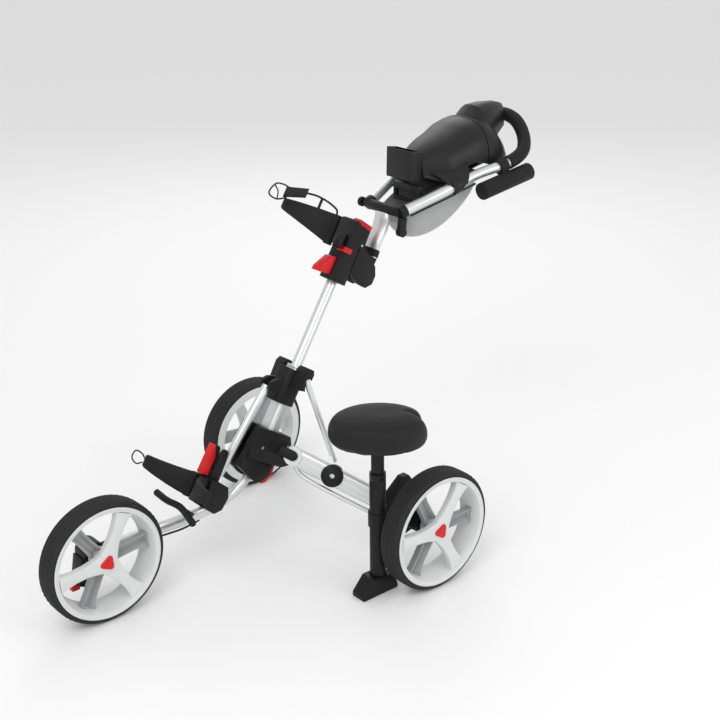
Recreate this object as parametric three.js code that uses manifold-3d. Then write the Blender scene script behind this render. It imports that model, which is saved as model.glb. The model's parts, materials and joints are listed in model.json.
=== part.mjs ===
// Three-wheel golf push trolley with a bolt-on folding seat.
// Millimetres. +Z is up, -Y is the way it is pushed, +X is the trolley's left side.
// While it is laid out, the origin is on the ground under the middle of the rear axle line.
import * as THREE from 'three';
import { mergeVertices } from 'three/addons/utils/BufferGeometryUtils.js';
import Module from 'manifold-3d';

const wasm = await Module();
wasm.setup();

// ---------------------------------------------------------------- driving dimensions
const GAP = 0.3; // left between pieces that touch

const WHEEL = {
  radius: 146, width: 53, seatRadius: 124, flange: 29.4, flangeRadius: 133, axleRadius: 6, sides: 28,
};
const AXLE_HEIGHT = WHEEL.radius;
const TRACK_HALF = 351; // rear wheel centre from the middle
const FRONT_WHEEL = { x: -32, y: -647 };

const COLUMN = { y: -117, z: 474, slope: 58.4, top: 205, radius: 12.5 };
const MAIN_TUBE = { width: 46, depth: 34, low: -225, top: -6, wall: 2 };
const COLLAR = { low: -94, top: -10, width: 53, front: -34, back: 23 };

const LEG = { hinge: [50, -171, 275.4], end: [303, -1.3, 147], height: 46, thick: 24 };
const LEG_HINGE = { radius: 23, knuckle: 26, lug: 6, lugRadius: 12, pin: 6 };
const LEG_CLAMP = { from: 82, to: 125, height: 54, thick: 34 };
const STRUT = { radius: 7, footGap: 4, ear: 44 };

const FRONT_PIVOT = { y: -240, z: 243 };
const RAIL = { top: [0, -204, 449], bottom: [0, -350, 266], radius: 10 };
const FRONT_TUBE_RADIUS = 11;
const FRONT_ARM_RADIUS = 14;

const BAG_ARM = { knuckle: 11, spread: 0.8, curl: 0.5 };
const HANDLE_PIVOT = { y: 73, z: 258 }; // handle fold axis, on the column's own axes
const ARM_OVAL = { width: 50, thick: 22 };
const CROSSBAR = { y: 160, z: 803, radius: 12.5, half: 58 };
const SIDE_TUBE_RADIUS = 12.5;
const GRIP_RADIUS = 16.5;
const GRIP_SPAN = 0.29; // where the grip starts along the handle loop

const SEAT = { x: 288, y: -117, yaw: 49.5, postRadius: 15, sleeveRadius: 19 };

// ---------------------------------------------------------------- finishes
const finish = (color, roughness, metalness = 0) =>
  new THREE.MeshStandardMaterial({ color, roughness, metalness });
const SILVER = finish(0xc9cccd, 0.35, 0.8);
const BLACK = finish(0x262626, 0.5);
const RED = finish(0xc8151e, 0.4);
const RIM_GREY = finish(0xd0d2d2, 0.4);
const TYRE = finish(0x303030, 0.85);
const STEEL = finish(0x9a9da0, 0.3, 1);
const FOAM = finish(0x2a2a2a, 0.9);
const MESH_GREY = finish(0xa3a5a4, 0.9);

// ---------------------------------------------------------------- vectors and shapes
const V = (x, y, z) => new THREE.Vector3(x, y, z);
const at = (p) => V(p[0], p[1], p[2]);
const along = (a, b, distance) => a.clone().addScaledVector(b.clone().sub(a).normalize(), distance);
const mirrorX = (p) => V(-p.x, p.y, p.z);

function circle(radius, sides, hole = 0) {
  const ring = (r) => Array.from({ length: sides }, (_, i) => {
    const a = (2 * Math.PI * i) / sides;
    return new THREE.Vector2(r * Math.cos(a), r * Math.sin(a));
  });
  const shape = new THREE.Shape(ring(radius));
  if (hole) shape.holes.push(new THREE.Path(ring(hole).reverse()));
  return shape;
}

function rounded(width, height, corner, steps = 3) {
  const points = [];
  const [w, h] = [width / 2 - corner, height / 2 - corner];
  [[w, h, 0], [-w, h, 1], [-w, -h, 2], [w, -h, 3]].forEach(([x, y, quarter]) => {
    for (let i = 0; i <= steps; i++) {
      const a = (Math.PI / 2) * (quarter + i / steps);
      points.push(new THREE.Vector2(x + corner * Math.cos(a), y + corner * Math.sin(a)));
    }
  });
  return new THREE.Shape(points);
}

function roundedTube(width, height, corner, wall) {
  const shape = rounded(width, height, corner);
  const inner = rounded(width - 2 * wall, height - 2 * wall, corner - wall).getPoints();
  shape.holes.push(new THREE.Path(inner.reverse()));
  return shape;
}

// A section extruded from a to b, with the section's own x axis turned towards side.
function bar(shape, a, b, side = V(1, 0, 0)) {
  const length = a.distanceTo(b);
  const options = { depth: length, bevelEnabled: false, curveSegments: 12 };
  const geometry = new THREE.ExtrudeGeometry(shape, options);
  const z = b.clone().sub(a).normalize();
  const x = side.clone().addScaledVector(z, -side.dot(z)).normalize();
  const y = z.clone().cross(x);
  return geometry.applyMatrix4(new THREE.Matrix4().makeBasis(x, y, z).setPosition(a));
}

const rod = (radius, a, b, sides = 16, hole = 0) => bar(circle(radius, sides, hole), a, b,
  Math.abs(b.x - a.x) > 0.7 * a.distanceTo(b) ? V(0, 1, 0) : V(1, 0, 0));

// A round section swept along a smooth curve through the points.
function bend(radius, points, steps, sides = 10, hole = 0) {
  const path = new THREE.CatmullRomCurve3(points, false, 'centripetal');
  const options = { steps, extrudePath: path, bevelEnabled: false };
  return new THREE.ExtrudeGeometry(circle(radius, sides, hole), options);
}

// A side outline given as [y, z] points, extruded across from x0 to x1.
function slab(outline, x0, x1) {
  const shape = new THREE.Shape(outline.map(([y, z]) => new THREE.Vector2(y, z)));
  const geometry = new THREE.ExtrudeGeometry(shape, { depth: x1 - x0, bevelEnabled: false });
  const basis = new THREE.Matrix4().makeBasis(V(0, 1, 0), V(0, 0, 1), V(1, 0, 0)).setPosition(x0, 0, 0);
  return geometry.applyMatrix4(basis);
}

const block = (x0, x1, y0, y1, z0, z1) => new THREE.BoxGeometry(x1 - x0, y1 - y0, z1 - z0)
  .translate((x0 + x1) / 2, (y0 + y1) / 2, (z0 + z1) / 2);

// A closed ring or plug turned about the X axis, from [x, r] points.
function turned(profile, sides) {
  const points = profile.map(([x, r]) => new THREE.Vector2(r, x));
  return new THREE.LatheGeometry(points, sides).rotateZ(-Math.PI / 2);
}

// A ring of points round the line from centre to target.
function ringOn(radius, centre, target, sides = 12) {
  const z = target.clone().sub(centre).normalize();
  const x = V(0, 1, 0).addScaledVector(z, -z.y).normalize();
  const y = z.clone().cross(x);
  return Array.from({ length: sides }, (_, i) => {
    const a = (2 * Math.PI * i) / sides;
    return centre.clone().addScaledVector(x, radius * Math.cos(a)).addScaledVector(y, radius * Math.sin(a));
  });
}

// A skin through rings of equal point count, closed with a flat cap at each end.
function loft(rings) {
  const count = rings[0].length;
  const points = rings.flat();
  const index = [];
  for (let r = 0; r + 1 < rings.length; r++) {
    for (let i = 0; i < count; i++) {
      const [a, b] = [r * count + i, r * count + ((i + 1) % count)];
      index.push(a, b, b + count, a, b + count, a + count);
    }
  }
  const cap = (start, flip) => {
    const middle = points.length;
    const centre = V(0, 0, 0);
    for (let i = 0; i < count; i++) centre.add(points[start + i]);
    points.push(centre.multiplyScalar(1 / count));
    for (let i = 0; i < count; i++) {
      const [a, b] = [start + i, start + ((i + 1) % count)];
      index.push(...(flip ? [middle, b, a] : [middle, a, b]));
    }
  };
  const body = rings.length * count;
  cap(0, true);
  cap(body - count, false);
  const geometry = new THREE.BufferGeometry().setFromPoints(points);
  geometry.setIndex(index);
  return outward(geometry);
}

function volumeOf(geometry) {
  const p = geometry.attributes.position;
  const ids = geometry.index.array;
  const corner = (i) => new THREE.Vector3().fromBufferAttribute(p, ids[i]);
  let total = 0;
  for (let i = 0; i < ids.length; i += 3) total += corner(i).dot(corner(i + 1).cross(corner(i + 2)));
  return total / 6;
}

function outward(geometry) {
  if (volumeOf(geometry) < 0) geometry.index.array.reverse();
  return geometry;
}

// ---------------------------------------------------------------- joining and cutting
function toSolid(geometry) {
  const bare = geometry.clone();
  bare.deleteAttribute('normal');
  bare.deleteAttribute('uv');
  const merged = outward(mergeVertices(bare, 1e-3));
  return new wasm.Manifold(new wasm.Mesh({
    numProp: 3,
    vertProperties: new Float32Array(merged.attributes.position.array),
    triVerts: new Uint32Array(merged.index.array),
  }));
}

function fromSolid(solid) {
  const mesh = solid.getMesh();
  const geometry = new THREE.BufferGeometry();
  geometry.setAttribute('position', new THREE.BufferAttribute(new Float32Array(mesh.vertProperties), 3));
  geometry.setIndex(new THREE.BufferAttribute(new Uint32Array(mesh.triVerts), 1));
  return geometry;
}

const join = (...pieces) => fromSolid(pieces.map(toSolid).reduce((a, b) => a.add(b)));
const cut = (solid, ...tools) => fromSolid(
  tools.map(toSolid).reduce((a, b) => a.subtract(b), toSolid(solid)));
const common = (a, b) => fromSolid(toSolid(a).intersect(toSolid(b)));

// ---------------------------------------------------------------- scene
const trolley = new THREE.Group();
const column = new THREE.Group(); // z runs up the sloping tube, y points down its back
column.position.set(0, COLUMN.y, COLUMN.z);
column.rotation.x = THREE.MathUtils.degToRad(COLUMN.slope - 90);
column.updateMatrixWorld();
trolley.add(column);

function piece(group, name, geometry, material) {
  geometry.computeVertexNormals();
  const mesh = new THREE.Mesh(geometry, material);
  mesh.name = name;
  group.add(mesh);
  return mesh;
}

const toColumn = (geometry) => geometry.clone().applyMatrix4(column.matrixWorld.clone().invert());
const fromColumn = (x, y, z) => V(x, y, z).applyMatrix4(column.matrixWorld);

// ---------------------------------------------------------------- wheels
function wheelRim() {
  const f = WHEEL.flange;
  const barrel = turned([[-f, 112], [-f, 133], [-f + 2.4, 133], [-f + 2.4, WHEEL.seatRadius - GAP],
    [f - 2.6, WHEEL.seatRadius - GAP], [f - 2.6, WHEEL.flangeRadius], [f, WHEEL.flangeRadius],
    [f - 2, 121], [-f, 112]], WHEEL.sides);
  const hub = turned([[-25, 0], [-25, 22], [8, 27], [23, 27], [23, 0]], 14);
  const spokes = [0, 1, 2, 3, 4, 5].map((i) => {
    const raised = i % 2 === 0;
    const [x0, x1] = raised ? [10, 22] : [-12, 2];
    const [inner, outer] = raised ? [17, 11] : [13, 10];
    const corner = (x, half, r) => V(x, half, r);
    const ring = (half, r, shift) => [corner(x0 + shift, -half, r), corner(x1 + shift, -half, r),
      corner(x1 + shift, half, r), corner(x0 + shift, half, r)];
    return loft([ring(inner, 18, 0), ring(outer, 117, raised ? 2 : 0)]).rotateX((i * Math.PI) / 3);
  });
  const bore = WHEEL.axleRadius + GAP;
  return cut(join(barrel, hub, ...spokes), turned([[-40, 0], [-40, bore], [20, bore], [20, 0]], 12));
}

function wheel(parent, prefix, x, y, outer, spin) {
  const group = new THREE.Group();
  group.position.set(x, y, AXLE_HEIGHT);
  group.rotation.set(spin, 0, outer > 0 ? 0 : Math.PI);
  parent.add(group);
  const { radius: R, width, seatRadius } = WHEEL;
  const h = width / 2;
  piece(group, `${prefix}_tyre`, turned([[-h + 1, seatRadius], [-h, 134], [-h + 0.6, 142], [-h / 2, R],
    [h / 2, R], [h - 0.6, 142], [h, 134], [h - 1, seatRadius], [-h + 1, seatRadius]], WHEEL.sides), TYRE);
  piece(group, `${prefix}_rim`, wheelRim(), RIM_GREY);
  const cap = new THREE.Shape(Array.from({ length: 12 }, (_, i) => {
    const a = (i * Math.PI) / 6;
    const r = 15 + 3.2 * Math.cos(3 * a);
    return new THREE.Vector2(r * Math.cos(a), r * Math.sin(a));
  }));
  const capBody = new THREE.ExtrudeGeometry(cap, { depth: 4, bevelEnabled: false }).rotateZ(Math.PI / 2)
    .rotateY(Math.PI / 2).translate(23.4, 0, 0);
  piece(group, `${prefix}_hub_cap`, capBody, RED);
}

wheel(trolley, 'front', FRONT_WHEEL.x, FRONT_WHEEL.y, 1, -0.436);
wheel(trolley, 'left', TRACK_HALF, 0, 1, -0.58);
wheel(trolley, 'right', -TRACK_HALF, 0, -1, -0.4);

// ---------------------------------------------------------------- sloping column and collar
piece(column, 'main_tube', bar(roundedTube(MAIN_TUBE.width, MAIN_TUBE.depth, 15, MAIN_TUBE.wall),
  V(0, 0, MAIN_TUBE.low), V(0, 0, MAIN_TUBE.top)), SILVER);

function upperColumn() {
  const plug = bar(rounded(MAIN_TUBE.width - 5, MAIN_TUBE.depth - 5, 12), V(0, 0, MAIN_TUBE.top - 50),
    V(0, 0, MAIN_TUBE.top + 1));
  const lip = bar(rounded(MAIN_TUBE.width, MAIN_TUBE.depth, 15), V(0, 0, MAIN_TUBE.top + GAP),
    V(0, 0, MAIN_TUBE.top + 5));
  return join(rod(COLUMN.radius, V(0, 0, MAIN_TUBE.top - 50), V(0, 0, COLUMN.top + 70), 16), plug, lip);
}
piece(column, 'upper_column', upperColumn(), SILVER);

const downTube = V(0, 0, -1).transformDirection(column.matrixWorld);

function rearLegLine(sign) {
  const hinge = V(sign * LEG.hinge[0], LEG.hinge[1], LEG.hinge[2]);
  const end = V(sign * LEG.end[0], LEG.end[1], LEG.end[2]);
  const out = end.clone().sub(hinge).normalize();
  const axis = out.clone().cross(downTube).normalize();
  const up = out.clone().cross(axis).normalize();
  if (up.z < 0) up.negate();
  const length = hinge.distanceTo(end);
  const point = (distance, side = 0, rise = 0) => hinge.clone().addScaledVector(out, distance)
    .addScaledVector(axis, side).addScaledVector(up, rise);
  return { hinge, end, axis, up, length, point };
}
const legs = { left: rearLegLine(1), right: rearLegLine(-1) };

// A strut runs from its pivot in the collar's ear to just above the clamp on its leg.
function strutEnds(prefix) {
  const { point } = legs[prefix];
  const { from, to, height } = LEG_CLAMP;
  const ear = fromColumn((prefix === 'left' ? 1 : -1) * STRUT.ear, 0, -16);
  return { ear, foot: point((from + to) / 2 - 10, 0, height / 2 + STRUT.footGap) };
}

const mainTubeBore = (low, top) => bar(rounded(MAIN_TUBE.width + 2 * GAP, MAIN_TUBE.depth + 2 * GAP, 15.3),
  V(0, 0, low), V(0, 0, top));

function collar() {
  const { low, top, width, front, back } = COLLAR;
  const middle = (front + back) / 2;
  const sleeve = bar(rounded(width, back - front, 14), V(0, middle, low), V(0, middle, top));
  const earSide = [[-15, -50], [12, -46], [14, -4], [8, 6], [-10, 6], [-17, -5]];
  const lug = slab([[-30, -84], [-30, -38], [-58, -46], [-68, -56], [-68, -70], [-56, -78]], -19, 19);
  const earSlots = Object.keys(legs).map((prefix) => {
    const { ear, foot } = strutEnds(prefix);
    const narrow = ringOn(STRUT.radius + 2, along(ear, foot, -4), foot);
    const wide = ringOn(STRUT.radius + 9, along(ear, foot, 60), foot);
    return toColumn(loft([narrow, wide]));
  });
  const railSlot = block(-RAIL.radius - 1, RAIL.radius + 1, -80, -40, -100, -42);
  return cut(join(sleeve, slab(earSide, 23.8, 55), slab(earSide, -55, -23.8), lug),
    mainTubeBore(low - 5, top + 5), ...earSlots, railSlot);
}
piece(column, 'collar', collar(), BLACK);

// ---------------------------------------------------------------- centre housing and its hinge pins
const frontPin = (radius, half) => rod(radius, V(-half, FRONT_PIVOT.y, FRONT_PIVOT.z),
  V(half, FRONT_PIVOT.y, FRONT_PIVOT.z), 12);

function centreHousing() {
  const body = slab([[-56, -160], [41, -160], [72, -205], [70, -225], [52, -234], [20, -236], [-58, -236],
    [-62, -205]], -35, 35);
  const nose = slab([[-60, -204], [28, -204], [30, -262], [12, -284], [-14, -284], [-68, -262]], -30, 30);
  const { y, z } = FRONT_PIVOT;
  const slot = slab([[y + 18, 170], [y + 18, z + 10], [y + 4, z + 17], [-380, z + 30], [-380, 170]], -15, 15);
  const { knuckle, lug } = LEG_HINGE;
  const lugs = [];
  const pockets = [];
  const pins = [];
  for (const { point } of Object.values(legs)) {
    for (const side of [-1, 1]) {
      const offset = side * (knuckle / 2 + GAP + lug / 2);
      const [near, far] = [offset - lug / 2, offset + lug / 2];
      lugs.push(rod(LEG_HINGE.lugRadius, point(0, near), point(0, far), 16));
      lugs.push(bar(rounded(lug, 2 * LEG_HINGE.lugRadius, 2), point(-34, offset), point(0, offset),
        point(0, 1).sub(point(0))));
    }
    pockets.push(rod(LEG_HINGE.radius + 1.5, point(0, -knuckle / 2 - GAP), point(0, knuckle / 2 + GAP), 20));
    pins.push(rod(LEG_HINGE.pin, point(0, -knuckle / 2 - 3), point(0, knuckle / 2 + 3), 12));
  }
  const railGroove = block(-12, 12, -90, -28, -300, -150);
  const shell = cut(join(body, nose, ...lugs.map(toColumn)), mainTubeBore(MAIN_TUBE.low - 1, -100),
    toColumn(slot), railGroove, ...pockets.map(toColumn));
  return join(shell, ...pins.map(toColumn), toColumn(frontPin(5, 29)));
}
piece(column, 'centre_housing', centreHousing(), BLACK);
piece(column, 'fold_lever', slab([[33, -238.6], [51, -237.4], [54, -258], [46, -282], [33, -289], [26, -284],
  [31.5, -268]], -12, 12), RED);

// ---------------------------------------------------------------- rear legs
function rearLeg(sign, prefix) {
  const { axis, length, point } = legs[prefix];
  const onEdge = (extra) => rounded(LEG.thick + extra, LEG.height + extra, 9 + extra / 2);
  const half = LEG_HINGE.knuckle / 2;
  const knuckle = rod(LEG_HINGE.radius, point(0, -half), point(0, half), 20);
  const pinHole = rod(LEG_HINGE.pin + GAP, point(0, -40), point(0, 40), 12);
  const beam = bar(onEdge(0), point(0), point(length - 6), axis);
  piece(trolley, `${prefix}_leg`, cut(join(knuckle, beam), pinHole), SILVER);

  const { from, to, thick, height } = LEG_CLAMP;
  piece(trolley, `${prefix}_leg_clamp`, cut(bar(rounded(thick, height, 12), point(from), point(to), axis),
    bar(onEdge(2 * GAP), point(from - 5), point(to + 5), axis)), BLACK);

  const { ear, foot } = strutEnds(prefix);
  const rooms = [0, 0.25, 0.5, 0.75].flatMap((angle) => [
    bar(rounded(thick + 8, height + 5, 12), point(from - 5), point(to + 5), axis),
    bar(onEdge(4), point(20), point(length - 60), axis),
  ].map((room) => room.translate(-foot.x, -foot.y, -foot.z)
    .applyMatrix4(new THREE.Matrix4().makeRotationAxis(axis, angle)).translate(foot.x, foot.y, foot.z)));
  piece(trolley, `${prefix}_strut`, cut(rod(STRUT.radius, ear, foot, 10), ...rooms), SILVER);

  const hub = rod(27, V(sign * 285, 0, AXLE_HEIGHT), V(sign * 321, 0, AXLE_HEIGHT), 20);
  const socket = bar(rounded(LEG.thick + 8, LEG.height + 8, 12), point(length - 50), point(length - 2), axis);
  const bore = rod(WHEEL.axleRadius + GAP, V(sign * 300, 0, AXLE_HEIGHT), V(sign * 330, 0, AXLE_HEIGHT), 12);
  piece(trolley, `${prefix}_axle_housing`, cut(join(hub, socket),
    bar(onEdge(2 * GAP), point(100), point(length - 5.7), axis), bore), BLACK);
  piece(trolley, `${prefix}_axle`, rod(WHEEL.axleRadius, V(sign * 308, 0, AXLE_HEIGHT),
    V(sign * 368, 0, AXLE_HEIGHT), 12), STEEL);
}
rearLeg(1, 'left');
rearLeg(-1, 'right');

// ---------------------------------------------------------------- front frame
piece(trolley, 'front_rail', rod(RAIL.radius, at(RAIL.top), at(RAIL.bottom), 14), SILVER);

const downTubePath = [V(0, FRONT_PIVOT.y + 6, FRONT_PIVOT.z + 1), V(0, -262, 240), V(2, -290, 222),
  V(0, -320, 202), V(-4, -350, 192), V(-16, -378, 182)];
const armPath = [V(-6, -366, 188), V(-30, -404, 169), V(-62, -434, 148), V(-86, -470, 135), V(-93, -520, 131),
  V(-96, -606, 128)];
function frontArm() {
  return cut(join(bend(FRONT_TUBE_RADIUS, downTubePath, 9, 10), bend(FRONT_ARM_RADIUS, armPath, 11, 10)),
    frontPin(5 + GAP, 60));
}
piece(trolley, 'front_arm', frontArm(), SILVER);

const hingeBoss = (x, y, low, high) => rod(BAG_ARM.knuckle, V(x, y, low), V(x, y, high), 14);

function lowerBracket() {
  const side = [[-126, -311], [-110, -309], [-72, -316], [-60, -340], [-64, -370], [-82, -384], [-122, -376]];
  const tubeHole = toColumn(bend(FRONT_TUBE_RADIUS + 1, [...downTubePath, V(-26, -396, 173)], 11, 12));
  const armHole = toColumn(bend(FRONT_ARM_RADIUS + 1, [V(2, -352, 196), ...armPath], 13, 12));
  const railSlot = toColumn(block(-13, 13, -400, -315, 236, 320));
  return cut(slab(side, -29, 29), tubeHole, armHole, railSlot);
}
piece(column, 'lower_bracket', lowerBracket(), BLACK);
piece(column, 'strap_lever', slab([[-148, -306], [-128, -306], [-128, -262], [-140, -234], [-146, -234]],
  -10, 10), RED);

// A padded arm that cradles the bag: it leaves an upright knuckle and tapers to its tip.
function bagArm(sign, root, reach, rise, rootHeight, tipHeight) {
  const steps = 5;
  const rings = Array.from({ length: steps + 1 }, (_, i) => {
    const s = i / steps;
    const angle = BAG_ARM.spread + (s - 0.5) * BAG_ARM.curl;
    const centre = V(root.x * sign, root.y, root.z)
      .add(V(sign * Math.sin(angle) * reach * s, -Math.cos(angle) * reach * s, rise * s));
    const normal = V(sign * Math.cos(angle), Math.sin(angle), 0);
    const half = (rootHeight + (tipHeight - rootHeight) * s) / 2;
    const thick = (16 - 6 * s) / 2;
    return [[-1, -0.8], [-0.6, -1], [0.6, -1], [1, -0.8], [1, 0.8], [0.6, 1], [-0.6, 1], [-1, 0.8]]
      .map(([n, v]) => centre.clone().addScaledVector(normal, n * thick).add(V(0, 0, v * half)));
  });
  const boss = hingeBoss(root.x * sign, root.y, root.z - rootHeight / 2, root.z + rootHeight / 2);
  return join(loft(rings), boss);
}
for (const [sign, prefix] of [[1, 'left'], [-1, 'right']]) {
  piece(column, `lower_${prefix}_arm`, bagArm(sign, V(17, -141, -341), 128, 6, 54, 30), BLACK);
  piece(column, `upper_${prefix}_arm`, bagArm(sign, V(17, -46, 318), 140, 22, 58, 26), BLACK);
}

function baseRest() {
  const rim = bend(8, [V(-80, -470, 233), V(-40, -468, 227), V(0, -460, 224), V(40, -466, 219),
    V(80, -478, 220)], 10, 10);
  const stem = bar(rounded(24, 8, 3), V(-34, -410, 174), V(-2, -458, 221));
  return cut(join(rim, stem), bend(FRONT_ARM_RADIUS + 1, [V(2, -352, 196), ...armPath], 13, 12));
}
piece(trolley, 'base_rest', baseRest(), BLACK);

function frontAxleHousing() {
  const { x, y } = FRONT_WHEEL;
  const hub = rod(27, V(x - 76, y, AXLE_HEIGHT), V(x - 31, y, AXLE_HEIGHT), 20);
  const brakeSide = [[y - 42, 74], [y - 14, 62], [y + 20, 90], [y + 22, 130], [y - 30, 140]];
  const brakeBox = slab(brakeSide, x - 78, x - 40);
  const socket = rod(19, V(-95.5, -592, 128.2), V(-97, -640, 127), 16);
  const arm = bend(FRONT_ARM_RADIUS + 1, [...armPath.slice(3, 5), V(-96.3, -608, 127.9)], 5, 12);
  const bore = rod(WHEEL.axleRadius + GAP, V(x - 62, y, AXLE_HEIGHT), V(x, y, AXLE_HEIGHT), 12);
  const plungerBore = rod(5 + GAP, V(x - 60, y - 20, 100), V(x - 20, y - 20, 100), 12);
  return cut(join(hub, brakeBox, socket), arm, bore, plungerBore);
}
piece(trolley, 'front_axle_housing', frontAxleHousing(), BLACK);
piece(trolley, 'front_axle', rod(WHEEL.axleRadius, V(FRONT_WHEEL.x - 60, FRONT_WHEEL.y, AXLE_HEIGHT),
  V(FRONT_WHEEL.x + 17, FRONT_WHEEL.y, AXLE_HEIGHT), 12), STEEL);
piece(trolley, 'brake_plunger', rod(5, V(FRONT_WHEEL.x - 58, FRONT_WHEEL.y - 20, 100),
  V(FRONT_WHEEL.x - 36, FRONT_WHEEL.y - 20, 100), 12), STEEL);
piece(trolley, 'front_release_tab', block(FRONT_WHEEL.x - 72, FRONT_WHEEL.x - 56,
  FRONT_WHEEL.y - 52, FRONT_WHEEL.y - 32, 56, 69), RED);
piece(trolley, 'front_brake_cable', bend(2.5, [V(-28, -392, 153), V(-50, -424, 133), V(-78, -458, 117),
  V(-92, -510, 112), V(-98, -560, 109), V(-101, -620, 106)], 14, 8), BLACK);

// ---------------------------------------------------------------- upper bracket on the column
function upperBracket() {
  const sleeve = bar(rounded(52, 53, 12), V(0, -0.5, 216), V(0, -0.5, 334));
  const head = slab([[-30, 322], [32, 322], [30, 356], [10, 360], [-30, 358]], -23, 23);
  const cheekSide = [[18, 256], [38, 240], [56, 233], [82, 232], [98, 247], [98, 268], [86, 288],
    [40, 312], [18, 316]];
  const { y, z } = HANDLE_PIVOT;
  const pin = rod(6, V(-22, y, z), V(22, y, z), 12);
  return join(cut(join(sleeve, head, slab(cheekSide, -27, -16), slab(cheekSide, 16, 27)),
    rod(COLUMN.radius + GAP, V(0, 0, 100), V(0, 0, COLUMN.top + 71), 16)), pin);
}
piece(column, 'upper_bracket', upperBracket(), BLACK);
piece(column, 'bracket_lever', slab([[-27.4, 226], [-64, 222], [-64, 232], [-42, 266], [-27.4, 270]],
  -13, 13), RED);
piece(column, 'height_button', join(block(26.3, 31, -33, -6, 286, 299),
  block(6, 31, -33, -27.3, 286, 299)), RED);
piece(column, 'handle_latch', slab([[-6, 360.8], [10, 360.8], [30.5, 356.6], [33, 348], [41, 348], [42, 370],
  [-2, 374]], -12, 12), RED);

// ---------------------------------------------------------------- folding handle
const handlePivot = fromColumn(0, HANDLE_PIVOT.y, HANDLE_PIVOT.z);
const armLine = [V(0, 110, 694), V(0, 124, 724), V(0, 146, 757), V(0, 157, 794)];
const oval = (grow) => bend(ARM_OVAL.thick / 2 + grow, armLine, 6, 14)
  .scale((ARM_OVAL.width + 2 * grow) / (ARM_OVAL.thick + 2 * grow), 1, 1);

function handleClevis() {
  const { y, z } = HANDLE_PIVOT;
  const tongue = slab([[y - 18, z], [y - 13, z - 13], [y, z - 18], [y + 13, z - 13], [y + 18, z],
    [92, 316], [62, 316]], -15, 15);
  const cup = common(toColumn(oval(3)), block(-40, 40, 40, 120, 309, 326));
  const bore = rod(6 + GAP, V(-40, y, z), V(40, y, z), 12);
  return cut(join(tongue, cup), bore, toColumn(oval(GAP)));
}
piece(column, 'handle_clevis', handleClevis(), BLACK);

function crossbar() {
  const { y, z, radius, half } = CROSSBAR;
  const beam = rod(radius, V(-half, y, z), V(half, y, z), 12);
  const sockets = [1, -1].map((sign) => rod(SIDE_TUBE_RADIUS + 3, V(sign * 56, y - 2, z - 1),
    V(sign * 60, y + 14, z + 4), 12));
  const foot = bar(rounded(16, 22, 6, 2), V(62, y + 2, z - 12), V(62, y - 2, z - 44));
  const ring = rod(11, V(54, y - 2, z - 46), V(70, y - 2, z - 46), 12);
  const tubeEnd = bend(SIDE_TUBE_RADIUS + 0.8, loopPart(0.002, 0.1, 4), 4, 12);
  const otherEnd = bend(SIDE_TUBE_RADIUS + 0.8, loopPart(0.9, 0.998, 4), 4, 12);
  return cut(join(beam, ...sockets, foot, ring), tubeEnd, otherEnd);
}

// Side tubes and handle loop are one bent tube. This is its left half, from crossbar to the top of the loop.
const sideLine = [V(58, 168, 805), V(86, 264, 838), V(110, 361, 871), V(125, 452, 888), V(116, 508, 905),
  V(82, 546, 933), V(42, 560, 962)];
const loopLine = [...sideLine, V(0, 561, 972), ...sideLine.map(mirrorX).reverse()];
const loopCurve = new THREE.CatmullRomCurve3(loopLine, false, 'centripetal');
const loopPart = (from, to, count) => Array.from({ length: count + 1 },
  (_, i) => loopCurve.getPointAt(from + ((to - from) * i) / count));

piece(trolley, 'crossbar', crossbar(), BLACK);
piece(trolley, 'handle_arm', cut(oval(0), rod(CROSSBAR.radius + 0.8, V(-40, CROSSBAR.y, CROSSBAR.z),
  V(40, CROSSBAR.y, CROSSBAR.z), 12)), SILVER);
piece(trolley, 'handle_tube', bend(SIDE_TUBE_RADIUS, loopPart(0.004, 0.996, 24), 24, 10), SILVER);
piece(trolley, 'grip', bend(GRIP_RADIUS, loopPart(GRIP_SPAN, 1 - GRIP_SPAN, 14), 14, 10,
  SIDE_TUBE_RADIUS + 2.6), BLACK);
piece(trolley, 'tilt_knob', rod(12, V(-86, CROSSBAR.y, CROSSBAR.z),
  V(-75.6, CROSSBAR.y, CROSSBAR.z), 14), BLACK);

// ---------------------------------------------------------------- console
// An arch across the trolley at y, square below and domed above.
function arch([y, half, edge, top]) {
  const steps = 10;
  return Array.from({ length: steps + 1 }, (_, i) => {
    const a = (Math.PI * i) / steps;
    const c = Math.cos(a);
    return V(half * Math.sign(c) * Math.abs(c) ** 0.75, y, edge + (top - edge) * Math.sin(a) ** 0.75);
  });
}

function hood(stations, wall) {
  const last = stations.length - 1;
  const inner = stations.map(([y, half, edge, top], i) =>
    [y + (i === 0 ? wall : i === last ? -wall : 0), half - wall, edge - 8, top - wall]);
  return cut(loft(stations.map(arch)), loft(inner.map(arch)));
}

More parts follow.
